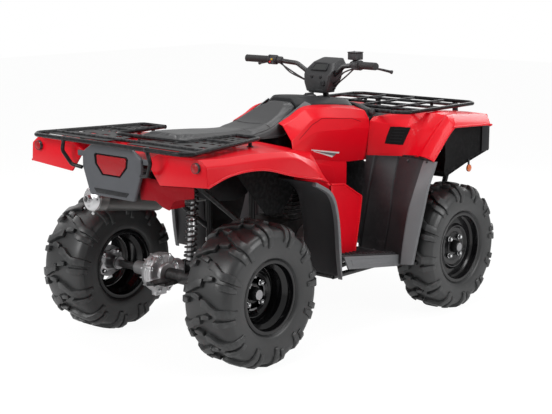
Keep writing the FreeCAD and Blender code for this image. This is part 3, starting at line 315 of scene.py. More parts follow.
GLOSS_RED = Finish(
    "gloss_red", (0.80, 0.003, 0.014), roughness=0.36, coat=0.22, coat_roughness=0.08, specular=0.16,
    grain=1200.0, bump=0.03, wear_and_highlight=0.12, wear_and_highlight_colour=(0.80, 0.05, 0.05), dust=0.0, gloss_spread=0.05,
    shade=0.03)
# Body red darkened to paint shade: the line along the side panels' crease, the band at the wings' seam and the
# apron under the rear of the deck.
PAINTED_SHADE_RED = Finish(
    "painted_shade_red", (0.30, 0.002, 0.008), roughness=0.45, specular=0.1, grain=700.0, bump=0.15, wear_and_highlight=0.15,
    wear_and_highlight_colour=(0.45, 0.06, 0.06), dust=0.12)
SEAT_VINYL = Finish(
    "seat_vinyl", (0.026, 0.027, 0.029), roughness=0.38, specular=0.7, grain=520.0, cell=1.0, bump=0.35,
    bump_depth=0.0006, wear_and_highlight=0.15, wear_and_highlight_colour=(0.09, 0.09, 0.09), dust=0.08, sheen=0.05)
CHARCOAL = Finish(
    "charcoal_plastic", (0.013, 0.014, 0.016), specular=0.3, grain=650.0, cell=0.8, bump=0.25,
    bump_depth=0.0004, wear_and_highlight_colour=(0.11, 0.11, 0.115), dust=0.03)
SHIELD_GREY = Finish(
    "shield_grey", (0.022, 0.021, 0.024), specular=0.4, grain=600.0, cell=0.8, bump=0.25, bump_depth=0.0004,
    wear_and_highlight_colour=(0.13, 0.13, 0.135), dust=0.05)
FLANGE_GREY = Finish(
    "flange_grey", (0.165, 0.168, 0.176), roughness=0.45, grain=600.0, cell=0.8, bump=0.2, bump_depth=0.0003,
    wear_and_highlight_colour=(0.25, 0.25, 0.26), dust=0.08)
TAIL_GREY = Finish(
    "tail_grey", (0.088, 0.093, 0.104), grain=600.0, cell=0.7, bump=0.2, bump_depth=0.0003, wear_and_highlight=0.25,
    wear_and_highlight_colour=(0.2, 0.2, 0.21), dust=0.06)
RACK_BLACK = Finish(
    "rack_black", (0.006, 0.006, 0.007), roughness=0.3, specular=0.22, grain=1500.0, bump=0.06, wear_and_highlight=0.35,
    wear_and_highlight_colour=(0.16, 0.16, 0.17), dust=0.0)
FRAME_BLACK = Finish(
    "frame_black", (0.010, 0.010, 0.011), roughness=0.4, grain=1200.0, bump=0.08, wear_and_highlight=0.35,
    wear_and_highlight_colour=(0.12, 0.12, 0.12), dust=0.06)
# Near-black plastic, darker than the plastic itself to paint the deep shade in the front wheel arches, on the
# rear wheel-well walls and round the tail lens; the hub caps and vent frames use it as plain black.
BLACK_AND_PAINTED_SHADE = Finish("black_and_painted_shade", (0.004, 0.004, 0.0045), roughness=0.7, specular=0.15, wear_and_highlight=0.1, dust=0.01)
RIM_BLACK = Finish(
    "rim_black_enamel", (0.005, 0.005, 0.006), roughness=0.2, coat=0.25, specular=0.3, grain=1500.0,
    bump=0.03, wear_and_highlight_colour=(0.10, 0.10, 0.105), dust=0.02)
# The tyre's lug edges are lightened partly as rubbed rubber and partly as painted highlight.
TYRE_RUBBER = Finish(
    "tyre_rubber", (0.027, 0.028, 0.029), roughness=0.40, specular=0.62, grain=420.0, cell=0.4, bump=0.3,
    bump_depth=0.0006, wear_and_highlight=0.5, wear_and_highlight_colour=(0.11, 0.113, 0.115), dust=0.02, shade=0.25)
GRIP_RUBBER = Finish(
    "grip_rubber_ribbed", (0.022, 0.022, 0.023), roughness=0.7, bump=0.3, wear_and_highlight=0.2, extra=ribbed)
CAST_ALLOY = Finish(
    "cast_alloy", (0.60, 0.60, 0.61), roughness=0.36, metallic=0.7, grain=500.0, cell=1.2, bump=0.45,
    bump_depth=0.0006, wear_and_highlight=0.4, wear_and_highlight_colour=(0.75, 0.75, 0.76))
ENGINE_BLACK = Finish(
    "engine_black", (0.035, 0.035, 0.037), metallic=0.4, grain=500.0, cell=1.2, bump=0.35, bump_depth=0.0005,
    wear_and_highlight=0.5, wear_and_highlight_colour=(0.3, 0.3, 0.3), dust=0.35)
MUFFLER_METAL = Finish(
    "muffler_metal", (0.26, 0.255, 0.25), roughness=0.4, metallic=0.85, grain=300.0, wear_and_highlight=0.2,
    wear_and_highlight_colour=(0.6, 0.6, 0.6), dust=0.15)
SILVER_METAL = Finish(
    "silver_metal", (0.66, 0.66, 0.67), roughness=0.3, metallic=0.95, grain=400.0, bump=0.08, wear_and_highlight=0.2,
    wear_and_highlight_colour=(0.85, 0.85, 0.85), dust=0.08)
NUT_CHROME = Finish(
    "nut_chrome", (0.80, 0.81, 0.82), roughness=0.16, metallic=1.0, grain=800.0, bump=0.03, wear_and_highlight=0.1,
    wear_and_highlight_colour=(0.9, 0.9, 0.9), dust=0.03)
STEEL = Finish(
    "plated_steel", (0.33, 0.33, 0.34), roughness=0.35, metallic=0.9, grain=600.0,
    wear_and_highlight_colour=(0.55, 0.55, 0.55), dust=0.25)
SPRING_BLACK = Finish("spring_black", (0.018, 0.018, 0.019), roughness=0.25, coat=0.3, wear_and_highlight=0.2)
BAR_BLACK = Finish("bar_black", (0.016, 0.016, 0.017), roughness=0.33, wear_and_highlight=0.2, dust=0.03)
CONTROL_BLACK = Finish("control_black", (0.022, 0.022, 0.024), bump=0.2, wear_and_highlight=0.25, dust=0.03)
SCREEN = Finish(
    "display_screen", (0.012, 0.014, 0.014), roughness=0.12, coat=0.8, bump=0.0, wear_and_highlight=0.0, dust=0.02)
LENS_RED = Finish(
    "lens_red_prisms", (0.42, 0.001, 0.006), roughness=0.2, coat=0.3, specular=0.25, wear_and_highlight=0.0, dust=0.02,
    extra=prismatic)
LENS_ORANGE = Finish(
    "lens_orange_prisms", (0.86, 0.16, 0.008), roughness=0.12, coat=0.9, wear_and_highlight=0.0, dust=0.02, extra=prismatic)
LENS_CLEAR = Finish(
    "lens_clear_plastic", (0.85, 0.87, 0.88), roughness=0.06, transmission=0.9, wear_and_highlight=0.0, dust=0.0, shade=0.0,
    bump=0.0)
BUTTON_RED = Finish("button_red", (0.62, 0.01, 0.01), roughness=0.4, wear_and_highlight=0.1, dust=0.0)
BUTTON_YELLOW = Finish("button_yellow", (0.78, 0.50, 0.02), roughness=0.4, wear_and_highlight=0.1, dust=0.0)
STRIPE_WHITE = Finish(
    "stripe_white", (0.80, 0.80, 0.79), roughness=0.3, coat=0.4, wear_and_highlight=0.05, dust=0.02, bump=0.02)
STRIPE_GREY = Finish(
    "stripe_grey", (0.16, 0.16, 0.17), roughness=0.35, coat=0.3, wear_and_highlight=0.05, dust=0.02, bump=0.02)


# Mesh building


def linked(name: str, data: bpy.types.ID) -> Piece:
    """Return a new object that shows the data, put into the scene."""
    piece = bpy.data.objects.new(name, data)
    bpy.context.scene.collection.objects.link(piece)
    return piece


def settle(piece: Piece) -> Piece:
    """Turn a piece's modifiers into plain mesh and remove them."""
    bpy.context.view_layer.update()
    baked = bpy.data.meshes.new_from_object(piece.evaluated_get(bpy.context.evaluated_depsgraph_get()))
    piece.modifiers.clear()
    piece.data = baked
    return piece


def smooth_line(points: Line, steps: int) -> list[Vector]:
    """Return a smooth line through the points, with a number of steps between neighbours."""
    known = [Vector(p) for p in points]
    line = []
    for i in range(len(known) - 1):
        a, b = known[max(i - 1, 0)], known[i]
        c, d = known[i + 1], known[min(i + 2, len(known) - 1)]
        for k in range(steps):
            t = k / steps
            line.append(0.5 * ((2 * b) + (c - a) * t + (2 * a - 5 * b + 4 * c - d) * t * t
                               + (3 * b - a - 3 * c + d) * t ** 3))
    return line + [known[-1]]


def rounded(points: Line, bend: float, steps: int = 6, closed: bool = False) -> list[Vector]:
    """Return straight runs through the points whose corners are rounded to a radius."""
    known = [Vector(p) for p in points]
    count = len(known)
    line = []
    for i, here in enumerate(known):
        if not closed and i in (0, count - 1):
            line.append(here)
            continue
        back, ahead = known[i - 1] - here, known[(i + 1) % count] - here
        half = back.angle(ahead) / 2
        reach = min(bend / max(math.tan(half), 1e-6), back.length * 0.48, ahead.length * 0.48)
        start, end = here + back.normalized() * reach, here + ahead.normalized() * reach
        for k in range(steps + 1):
            t = k / steps
            line.append(start.lerp(here, t).lerp(here.lerp(end, t), t))
    return line


def loft(stations: Sequence[Line], steps: int = 5, bend: float = 14.0, arc: int = 4) -> list[list[Vector]]:
    """Return rows of points through stations: smooth from one station to the next, rounded along each."""
    columns = [smooth_line(column, steps) for column in zip(*stations)]
    return [rounded([c[k] for c in columns], bend, arc) for k in range(len(columns[0]))]


def outline(points: Line, bend: float, steps: int) -> list[tuple[float, float]]:
    """Return a flat closed outline with its corners rounded to a radius."""
    return [(p.x, p.y) for p in rounded([(u, v, 0) for u, v in points], bend, steps, closed=True)]


def between(line: Line, reach: float) -> float:
    """Return the second value of a line of pairs where the first is as given, or else its last one."""
    for (xa, ya), (xb, yb) in zip(line, line[1:]):
        if xa <= reach <= xb:
            return ya + (yb - ya) * (reach - xa) / (xb - xa)
    return line[-1][1]


def both_halves(line: Line) -> list[tuple[float, float, float]]:
    """Return a line that starts at the left edge followed by its mirror image, ending at the right edge."""
    return [tuple(p) for p in line] + [(p[0], -p[1], p[2]) for p in reversed(list(line))]


class Shape:
    """A mesh under construction, in millimetres."""

    def __init__(self) -> None:
        """Start with nothing."""
        self.points: list[Vector] = []
        self.faces: list[tuple[int, ...]] = []

    def grid(self, rows: Sequence[Line], wrap_rows: bool = False, wrap_columns: bool = False,
             caps: bool = False) -> "Shape":
        """Add a skin of four-sided faces over rows of equally many points.

        Args:
            rows: The rows of points.
            wrap_rows: Join the last row to the first.
            wrap_columns: Join each row's last point to its first.
            caps: Close the first and the last row with a face.

        Returns:
            This shape.
        """
        base, wide = len(self.points), len(rows[0])
        self.points += [Vector(p) for row in rows for p in row]
        for i in range(len(rows) if wrap_rows else len(rows) - 1):
            for j in range(wide if wrap_columns else wide - 1):
                a, b = base + i * wide, base + ((i + 1) % len(rows)) * wide
                k = (j + 1) % wide
                self.faces.append((a + j, a + k, b + k, b + j))
        if caps:
            self.faces.append(tuple(base + j for j in reversed(range(wide))))
            self.faces.append(tuple(base + (len(rows) - 1) * wide + j for j in range(wide)))
        return self

    def lathe(self, profile: Line, segments: int = 64, closed: bool = False, centre: Point = (0, 0, 0),
              axis: Point = (0, 1, 0)) -> "Shape":
        """Add a turned surface from (distance along the axis, radius) points."""
        turn = Vector((0, 1, 0)).rotation_difference(Vector(axis).normalized()).to_matrix()
        rows = []
        for i in range(segments):
            s, c = math.sin(2 * math.pi * i / segments), math.cos(2 * math.pi * i / segments)
            rows.append([Vector(centre) + turn @ Vector((r * s, y, -r * c)) for y, r in profile])
        self.grid(rows, wrap_rows=True, wrap_columns=closed)
        if not closed:
            for j, keep in ((0, profile[0][1]), (len(profile) - 1, profile[-1][1])):
                if keep > 0.5:
                    start = len(self.points) - segments * len(profile)
                    ring = [start + i * len(profile) + j for i in range(segments)]
                    self.faces.append(tuple(ring if j == 0 else reversed(ring)))
        return self

    def tube(self, line: Line, radius: float | Callable[[float], float], sides: int = 12) -> "Shape":
        """Add a round bar along a line of points; the radius may change along it."""
        line = [Vector(p) for p in line]
        rows = []
        aside = None
        for i, here in enumerate(line):
            along = (line[min(i + 1, len(line) - 1)] - line[max(i - 1, 0)]).normalized()
            if aside is None:
                aside = along.orthogonal().normalized()
            aside = (aside - along * aside.dot(along)).normalized()
            other = along.cross(aside)
            size = radius(i / (len(line) - 1)) if callable(radius) else radius
            rows.append([here + (aside * math.cos(2 * math.pi * k / sides)
                                 + other * math.sin(2 * math.pi * k / sides)) * size for k in range(sides)])
        return self.grid(rows, wrap_columns=True, caps=True)

    def prism(self, edge: Line, low: float, high: float, across: str = "y") -> "Shape":
        """Add a plate: an outline in the other two axes, between two values along one axis."""
        order = {"x": (2, 0, 1), "y": (0, 2, 1), "z": (0, 1, 2)}[across]
        rows = [[[(p[0], p[1], w)[k] for k in order] for p in edge] for w in (low, high)]
        return self.grid(rows, wrap_columns=True, caps=True)

    def block(self, low: Point, high: Point) -> "Shape":
        """Add a box between two corners."""
        edge = [(low[0], low[2]), (high[0], low[2]), (high[0], high[2]), (low[0], high[2])]
        return self.prism(edge, low[1], high[1])

    def mirror(self) -> "Shape":
        """Add the same faces on the other side of the centre line."""
        base = len(self.points)
        self.points += [Vector((p.x, -p.y, p.z)) for p in self.points]
        self.faces += [tuple(base + i for i in reversed(f)) for f in self.faces]
        return self

    def flip(self) -> "Shape":
        """Move the shape to the other side of the centre line."""
        self.points = [Vector((p.x, -p.y, p.z)) for p in self.points]
        self.faces = [tuple(reversed(f)) for f in self.faces]
        return self

    def made(self, name: str, finish: Finish, wall: float = 0.0, bevel: float = 0.0, segments: int = 2,
             angle: float = 35.0, inside: Point | None = None) -> Piece:
        """Return the shape as a finished object.

        Args:
            name: The object's name.
            finish: Its finish.
            wall: Thickness given to an open skin, towards the inside.
            bevel: Width of the rounded corners.
            segments: Segments of each rounded corner.
            angle: The least angle in degrees at which a corner is rounded or stays crisp.
            inside: For an open skin, a point on the side towards which its wall grows.

        Returns:
            The object, with plain mesh and its place in it.
        """
        body = bmesh.new()
        corners = [body.verts.new(p * MM) for p in self.points]
        for face in self.faces:
            ring = [corners[i] for i in dict.fromkeys(face)]
            if len(ring) > 2:
                try:
                    body.faces.new(ring)
                except ValueError:
                    continue
        bmesh.ops.remove_doubles(body, verts=body.verts, dist=MERGE_DISTANCE)
        bmesh.ops.recalc_face_normals(body, faces=body.faces)
        if inside is not None:
            core = Vector(inside) * MM
            if sum(f.normal.dot(f.calc_center_median() - core) * f.calc_area() for f in body.faces) < 0:
                bmesh.ops.reverse_faces(body, faces=body.faces)
        mesh = bpy.data.meshes.new(name)
        body.to_mesh(mesh)
        body.free()
        piece = linked(name, mesh)
        mesh.materials.append(finish.material())
        if wall:
            skin = piece.modifiers.new("wall", "SOLIDIFY")
            skin.thickness = wall * MM
            skin.offset = -1.0
            skin.use_even_offset = True
            skin.use_quality_normals = True
        if bevel:
            corner = piece.modifiers.new("bevel", "BEVEL")
            corner.width = bevel * MM
            corner.segments = segments
            corner.limit_method = "ANGLE"
            corner.angle_limit = math.radians(angle)
        if piece.modifiers:
            settle(piece)
        piece.data.shade_smooth()
        piece.data.set_sharp_from_angle(angle=math.radians(max(angle, CRISP_ANGLE)))
        return piece


def fit(piece: Piece, slot: Slot, *replaced: str, body: str = "chassis") -> Piece:
    """Attach a finished piece to its body, with the solids it stands for hidden."""
    if replaced:
        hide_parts(*replaced)
    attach(piece, body)
    log.info("%s: %d faces on %s", piece.name, len(piece.data.polygons), body)
    return piece


def copies_tree(name: str) -> tuple[Tree, dict[str, str]]:
    """Build the tree that repeats a mesh in even turns about y.

    Args:
        name: The tree's name.

    Returns:
        The tree, and each input's identifier by its name.
    """
    tree = bpy.data.node_groups.new(name, "GeometryNodeTree")
    sockets = {}
    for label, kind in (("Geometry", "Geometry"), ("Count", "Int"), ("Turn", "Vector"),
                        ("Material", "Material")):
        socket = tree.interface.new_socket(label, in_out="INPUT", socket_type=f"NodeSocket{kind}")
        sockets[label] = socket.identifier
    tree.interface.new_socket("Geometry", in_out="OUTPUT", socket_type="NodeSocketGeometry")
    start, index = add_node(tree, "NodeGroupInput"), add_node(tree, "GeometryNodeInputIndex")
    asked = start.outputs
    line = add_node(tree, "GeometryNodeMeshLine", {"Count": asked["Count"], "Offset": (0, 0, 0)})
    turn = tree.nodes.new("ShaderNodeVectorMath")
    turn.operation = "SCALE"
    feed(tree, turn, {0: asked["Turn"], "Scale": index.outputs[0]})
    copies = add_node(tree, "GeometryNodeInstanceOnPoints", {
        "Points": line.outputs[0], "Instance": asked["Geometry"], "Rotation": turn.outputs["Vector"]})
    whole = add_node(tree, "GeometryNodeRealizeInstances", {0: copies.outputs[0]})
    paint = add_node(tree, "GeometryNodeSetMaterial",
                     {"Geometry": whole.outputs[0], "Material": asked["Material"]})
    add_node(tree, "NodeGroupOutput", {0: paint.outputs[0]})
    return tree, sockets


COPIES, COPIES_SOCKETS = copies_tree("even_copies")


def repeat(piece: Piece, count: int, turn: float) -> Piece:
    """Repeat a piece in even turns about the axle.

    Args:
        piece: The piece, at the place of the first copy.
        count: How many copies there are.
        turn: Degrees about y from one copy to the next.

    Returns:
        The piece, now with all its copies as plain mesh.
    """
    node = piece.modifiers.new("copies", "NODES")
    node.node_group = COPIES
    node[COPIES_SOCKETS["Count"]] = count
    node[COPIES_SOCKETS["Turn"]] = (0.0, math.radians(turn), 0.0)
    node[COPIES_SOCKETS["Material"]] = piece.data.materials[0]
    return settle(piece)


def place(piece: Piece, x: float, y: float, z: float, side: Side = Side.LEFT) -> Piece:
    """Move a piece built about the origin to its place, mirrored first for the right side.

    Args:
        piece: The piece; its outer face points to +y.
        x: Place along the vehicle.
        y: Distance from the centre line.
        z: Height.
        side: The side of the vehicle.

    Returns:
        The piece.
    """
    if side is Side.RIGHT:
        piece.data.transform(Matrix.Diagonal((1, -1, 1, 1)))
        piece.data.flip_normals()
    piece.data.transform(Matrix.Translation(Vector((x, side.value * y, z)) * MM))
    return piece


def joined(name: str, pieces: Sequence[Piece]) -> Piece:
    """Join several pieces into one mesh that keeps each one's material."""
    mesh = bpy.data.meshes.new(name)
    body = bmesh.new()
    for piece in pieces:
        shift = len(mesh.materials)
        for material in piece.data.materials:
            mesh.materials.append(material)
        before = len(body.faces)
        body.from_mesh(piece.data)
        body.faces.ensure_lookup_table()
        for face in body.faces[before:]:
            face.material_index += shift
        bpy.data.objects.remove(piece)
    body.to_mesh(mesh)
    body.free()
    return linked(name, mesh)


def draped(name: str, finish: Finish, target: Piece, first: Line, second: Line,
           lift: float) -> Piece:
    """Lay a thin band on a piece's surface, between two lines given near it.

    Args:
        name: The band's name.
        finish: Its finish.
        target: The piece that it lies on.
        first: One edge of the band.
        second: The other edge, with as many points.
        lift: How far the band stands off the surface, in millimetres.

    Returns:
        The band.
    """
    steps, across = 14, 5
    rows = []
    edges = [[Vector(p) for p in edge] for edge in (first, second)]
    for i in range(len(first) - 1):
        for k in range(steps + (i == len(first) - 2)):
            a, b = (edge[i].lerp(edge[i + 1], k / steps) for edge in edges)
            row = []
            for j in range(across + 1):
                guess = a.lerp(b, j / across)
                found, spot, normal, _ = target.closest_point_on_mesh(guess * MM)
                row.append(spot / MM + normal * lift if found else guess)
            rows.append(row)
    return Shape().grid(rows).made(name, finish)


def bolts(name: str, spots: Sequence[tuple[Point, Point]], radius: float, finish: Finish) -> Piece:
    """Build flanged hexagon bolt heads.

    Args:
        name: The object's name.
        spots: Each head's seat and the way that it faces.
        radius: Across the corners of the hexagon, halved.
        finish: The heads' finish.

    Returns:
        All the heads as one object.
    """
    shape = Shape()
    for seat, way in spots:
        shape.lathe([(-1.0, radius * 1.35), (1.2, radius * 1.35), (2.2, radius * 1.1), (2.2, 0.1)], 20,
                    centre=seat, axis=way)
        shape.lathe([(2.0, radius), (radius * 0.8, radius), (radius * 0.95, radius * 0.75),
                     (radius * 0.95, 0.1)], 6, centre=seat, axis=way)
    return shape.made(name, finish, angle=25)


# Wheels

AXLE_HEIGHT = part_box("rear_axle")[0].lerp(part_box("rear_axle")[1], 0.5).z / MM


@dataclass
class Tyre:
    """A knobbly low-pressure tyre: carcass, shoulder blocks, centre blocks and sidewall rings."""

    width: float
    rim_width: float
    bead: float
    outer: float = AXLE_HEIGHT
    lug_height: float = 17.0
    lug_count: int = 12
    finish: Finish = TYRE_RUBBER
    section: list[Vector] = field(default_factory=list)

    def __post_init__(self) -> None:
        """Work out the smooth outside of the section from bead to bead."""
        crown, half, lip = self.outer - self.lug_height, self.width / 2 - 7, self.rim_width / 2 - 1
        low = [(0, 2), (1, 14), ((half - lip) * 0.7, 26)]
        side = [(lip + out, self.bead + up, 0) for out, up in low]
        side += [(half, (self.bead + crown) / 2 + 14, 0), (half - 4, crown - 26, 0),
                 (half - 20, crown - 9, 0), (half * 0.5, crown - 1, 0), (0, crown, 0)]
        half_line = smooth_line(side, 4)
        self.section = half_line + [Vector((-p.x, p.y, 0)) for p in reversed(half_line[:-1])]

    def surface(self, across: float) -> tuple[float, float, float]:
        """Return (across, radius, lean) of the outside where it crosses a distance from the middle.

        Distances beyond the tyre's half width run on down the sidewall.
        """
        side = [p for p in self.section if p.x >= 0][::-1]
        run, reach = 0.0, abs(across)
        for a, b in zip(side, side[1:]):
            step = (b - a).length
            if run + step >= reach:
                p = a.lerp(b, (reach - run) / step)
                lean = math.atan2(a.y - b.y, abs(b.x - a.x) + 1e-9)
                return math.copysign(p.x, across), p.y, lean if b.x >= a.x else math.pi - lean
            run += step
        return math.copysign(side[-1].x, across), side[-1].y, math.pi / 2

    def block(self, spine: Line, height: float) -> Shape:
        """Build one tread block that follows the carcass.

        Args:
            spine: (run from the middle, place along the tread, half width) down the block.
            height: How far the block stands above the carcass.

        Returns:
            The block about the axle, at the tyre's foot.
        """
        rows = []
        for i, (run, along, half) in enumerate(spine):
            across, radius, lean = self.surface(run)
            out = Vector((math.sin(lean), math.cos(lean)))
            level = height * (1.0 if radius > self.outer - self.lug_height - 10 else 0.6)
            level = -3.0 if i == len(spine) - 1 and run > self.width * 0.5 else level
            row = []
            for shift, lift in ((-half - 2.5, -2.0), (-half + 1.5, level), (half - 1.5, level),
                                (half + 2.5, -2.0)):
                r = min(radius + out.y * lift, self.outer)
                turn = (along + shift) / self.outer
                y = across + abs(out.x * lift)
                row.append((r * math.sin(turn), min(y, self.width / 2 - 0.3), -r * math.cos(turn)))
            rows.append(row)
        return Shape().grid(rows, wrap_columns=True, caps=True)

    def tread(self) -> list[Piece]:
        """Build both sides' blocks, the right side half a step behind the left."""
        h, step = self.width / 2, 360.0 / self.lug_count
        long = [(5, -20, 16), (h * 0.22, -15, 18), (h * 0.42, 2, 17), (h * 0.62, 16, 17), (h * 0.84, 17, 18),
                (h * 1.02, 20, 17), (h * 1.18, 23, 14), (h * 1.3, 25, 12), (h * 1.36, 25, 12)]
        short = [(h * 0.5, 58, 10), (h * 0.66, 62, 13), (h * 0.86, 62, 14), (h * 1.03, 64, 13),
                 (h * 1.16, 65, 11), (h * 1.22, 66, 11)]
        inner = [(4, 42, 9), (h * 0.2, 36, 12), (h * 0.36, 35, 8)]
        made = []
        for side in Side:
            for label, spine in (("long", long), ("short", short), ("centre", inner)):
                shape = self.block(spine, self.lug_height)
                if side is Side.RIGHT:
                    shape.flip()
                block = shape.made(f"lug_{label}", self.finish, bevel=1.5, angle=30)
                start = math.radians(0 if side is Side.LEFT else step / 2)
                block.data.transform(Matrix.Rotation(start, 4, "Y"))
                made.append(repeat(block, self.lug_count, step))
        return made

    def carcass(self) -> Piece:
        """Build the air chamber's outside with its beads, rings and inner lining."""
        outside = [(p.x, p.y) for p in self.section]
        for ring, lift in ((0.30, 1.6), (0.36, 1.6), (0.72, 1.8)):
            for sign in (1, -1):
                target = self.bead + ring * (self.outer - self.lug_height - self.bead)
                near = min((i for i in range(len(outside)) if outside[i][0] * sign > 0),
                           key=lambda i: abs(outside[i][1] - target))
                outside[near] = (outside[near][0] + sign * lift * 0.5, outside[near][1] + lift)
        inside = [(-self.rim_width / 2 + 12, self.bead + 2), (-self.width / 2 + 14, self.bead + 60),
                  (0, self.outer - self.lug_height - 12), (self.width / 2 - 14, self.bead + 60),
                  (self.rim_width / 2 - 12, self.bead + 2)]
        return Shape().lathe(outside + inside, 96, closed=True).made("carcass", self.finish, angle=50)

    def build(self, name: str, side: Side, x: float, y: float, body: str) -> None:
        """Build the tyre and put it on its wheel.

        Args:
            name: The solid it stands for, which gives it its name.
            side: The side of the vehicle.
            x: Place of the axle.
            y: Distance of the tyre's middle from the centre line.
            body: The body that it turns with.
        """
        whole = joined(f"{name}_tread", [self.carcass(), *self.tread()])
        fit(place(whole, x, y, AXLE_HEIGHT, side), Slot.TYRE, name, body=body)


@dataclass
class Rim:
    """A pressed steel rim: rolled flanges, stepped barrel, dished disc with openings and nuts."""

    width: float
    bead: float
    disc: float
    opening_radius: float = 74.0
    opening_half: float = 12.0
    opening_turn: float = 17.0
    openings: int = 4
    stud_circle: float = 55.0
    finish: Finish = RIM_BLACK

    def barrel(self) -> Piece:
        """Build the barrel with its flanges."""
        h, b = self.width / 2, self.bead
        flange = [(3.6, 6), (3, 11), (1, 12.6), (-0.5, 9), (-1, 0), (-26, -1), (-40, -20)]
        under = [(3.4, -3.6), (-26, -5), (-29, -8), (-41, -23.5)]
        line = [(-h - out, b + up) for out, up in flange] + [(h + out, b + up) for out, up in reversed(flange)]
        line += [(h + out, b + up) for out, up in under]
        line += [(-h + 41, b - 23.5), (-h + 27, b - 5), (-h - 3.4, b - 3.6)]
        return Shape().lathe(line, 96, closed=True).made("barrel", self.finish, bevel=1.0, angle=25)

    def plate(self) -> Piece:
        """Build the disc with its raised ring and its openings."""
        edge = self.bead - (5 if self.disc > self.width / 2 - 45 else 24)
        rings = [30, 38, 44, 62, 66, 70, 74, 78, 82, 86, 90, 94, 98, 102, 108, edge - 6, edge]
        dish = {90: 4, 94: 9, 98: 9, 102: 4}
        shape = Shape()
        steps = 96
        rows = []
        for i in range(steps):
            a = math.tau * i / steps
            row = []
            for r in rings:
                lift = dish.get(r, 0) + (3 if r <= 38 else 0) - (6 if r == edge else 0)
                row.append((r * math.sin(a), self.disc + lift, -r * math.cos(a)))
            rows.append(row)
        shape.grid(rows, wrap_rows=True)
        kept = []
        for f in shape.faces:
            middle = sum((shape.points[k] for k in f), Vector()) / 4
            radius = math.hypot(middle.x, middle.z)
            turn = math.degrees(math.atan2(middle.x, -middle.z)) % (360 / self.openings)
            off = min(turn, 360 / self.openings - turn)
            if abs(radius - self.opening_radius) > self.opening_half or off > self.opening_turn:
                kept.append(f)
        shape.faces = kept
        return shape.made("disc", self.finish, wall=PANEL_WALL, bevel=1.2, angle=25)

    def fasteners(self) -> list[Piece]:
        """Build the bright nuts on their studs, and the cap."""
        nut = Shape()
        r = self.stud_circle
        x, z = r * math.sin(math.pi / 4), -r * math.cos(math.pi / 4)
        y = self.disc + 4
        hexagon = [(9.6 * math.cos(math.pi * k / 3) + x, 9.6 * math.sin(math.pi * k / 3) + z)
                   for k in range(6)]
        nut.prism(hexagon, y, y + 11)
        nut.lathe([(y, 12.5), (y + 2.5, 12.5), (y + 3.2, 9)], 20, centre=(x, 0, z))
        nut.lathe([(y, 7.8), (y + 13, 7.6), (y + 16.5, 4.5), (y + 17.5, 0.1)], 16, centre=(x, 0, z))
        nuts = repeat(nut.made("nuts", NUT_CHROME, bevel=0.7, angle=25), 4, 90.0)
        steps = ((-6, 29), (12, 28), (22, 26.5), (27, 22), (28, 0.1))
        cap = Shape().lathe([(self.disc + out, radius) for out, radius in steps], 40)
        return [nuts, cap.made("cap", BLACK_AND_PAINTED_SHADE, bevel=1.0)]

    def build(self, name: str, side: Side, x: float, y: float, body: str) -> None:
        """Build the rim and put it on its wheel, with its fasteners."""
        rim = joined(f"{name}_steel", [self.barrel(), self.plate()])
        fasteners = joined(f"{name}_fasteners", self.fasteners())
        fit(place(rim, x, y, AXLE_HEIGHT, side), Slot.RIM, name, body=body)
        fit(place(fasteners, x, y, AXLE_HEIGHT, side), Slot.STEEL, body=body)


@dataclass
class Wheels:
    """All four wheels."""

    rear_tyre: Tyre = field(default_factory=lambda: Tyre(254.0, 203.0, 139.7))
    front_tyre: Tyre = field(default_factory=lambda: Tyre(203.0, 152.0, 152.4))
    rear_rim: Rim = field(default_factory=lambda: Rim(203.0, 139.7, 101.5 - 92.0))
    front_rim: Rim = field(default_factory=lambda: Rim(152.0, 152.4, 76.0 - 34.0, 112.0, 7.0, 4.0, 8))

    def build(self) -> None:
        """Build every tyre and rim."""
        for side in Side:
            rear = (side, REAR_AXLE_X, REAR_WHEEL_Y, "rear_wheels")
            self.rear_tyre.build(f"rear_tyre_{side.word}", *rear)
            self.rear_rim.build(f"rear_rim_{side.word}", *rear)
            front = (side, FRONT_AXLE_X, FRONT_WHEEL_Y, f"front_wheel_{side.word}")
            self.front_tyre.build(f"front_tyre_{side.word}", *front)
            self.front_rim.build(f"front_rim_{side.word}", *front)


# Bodywork


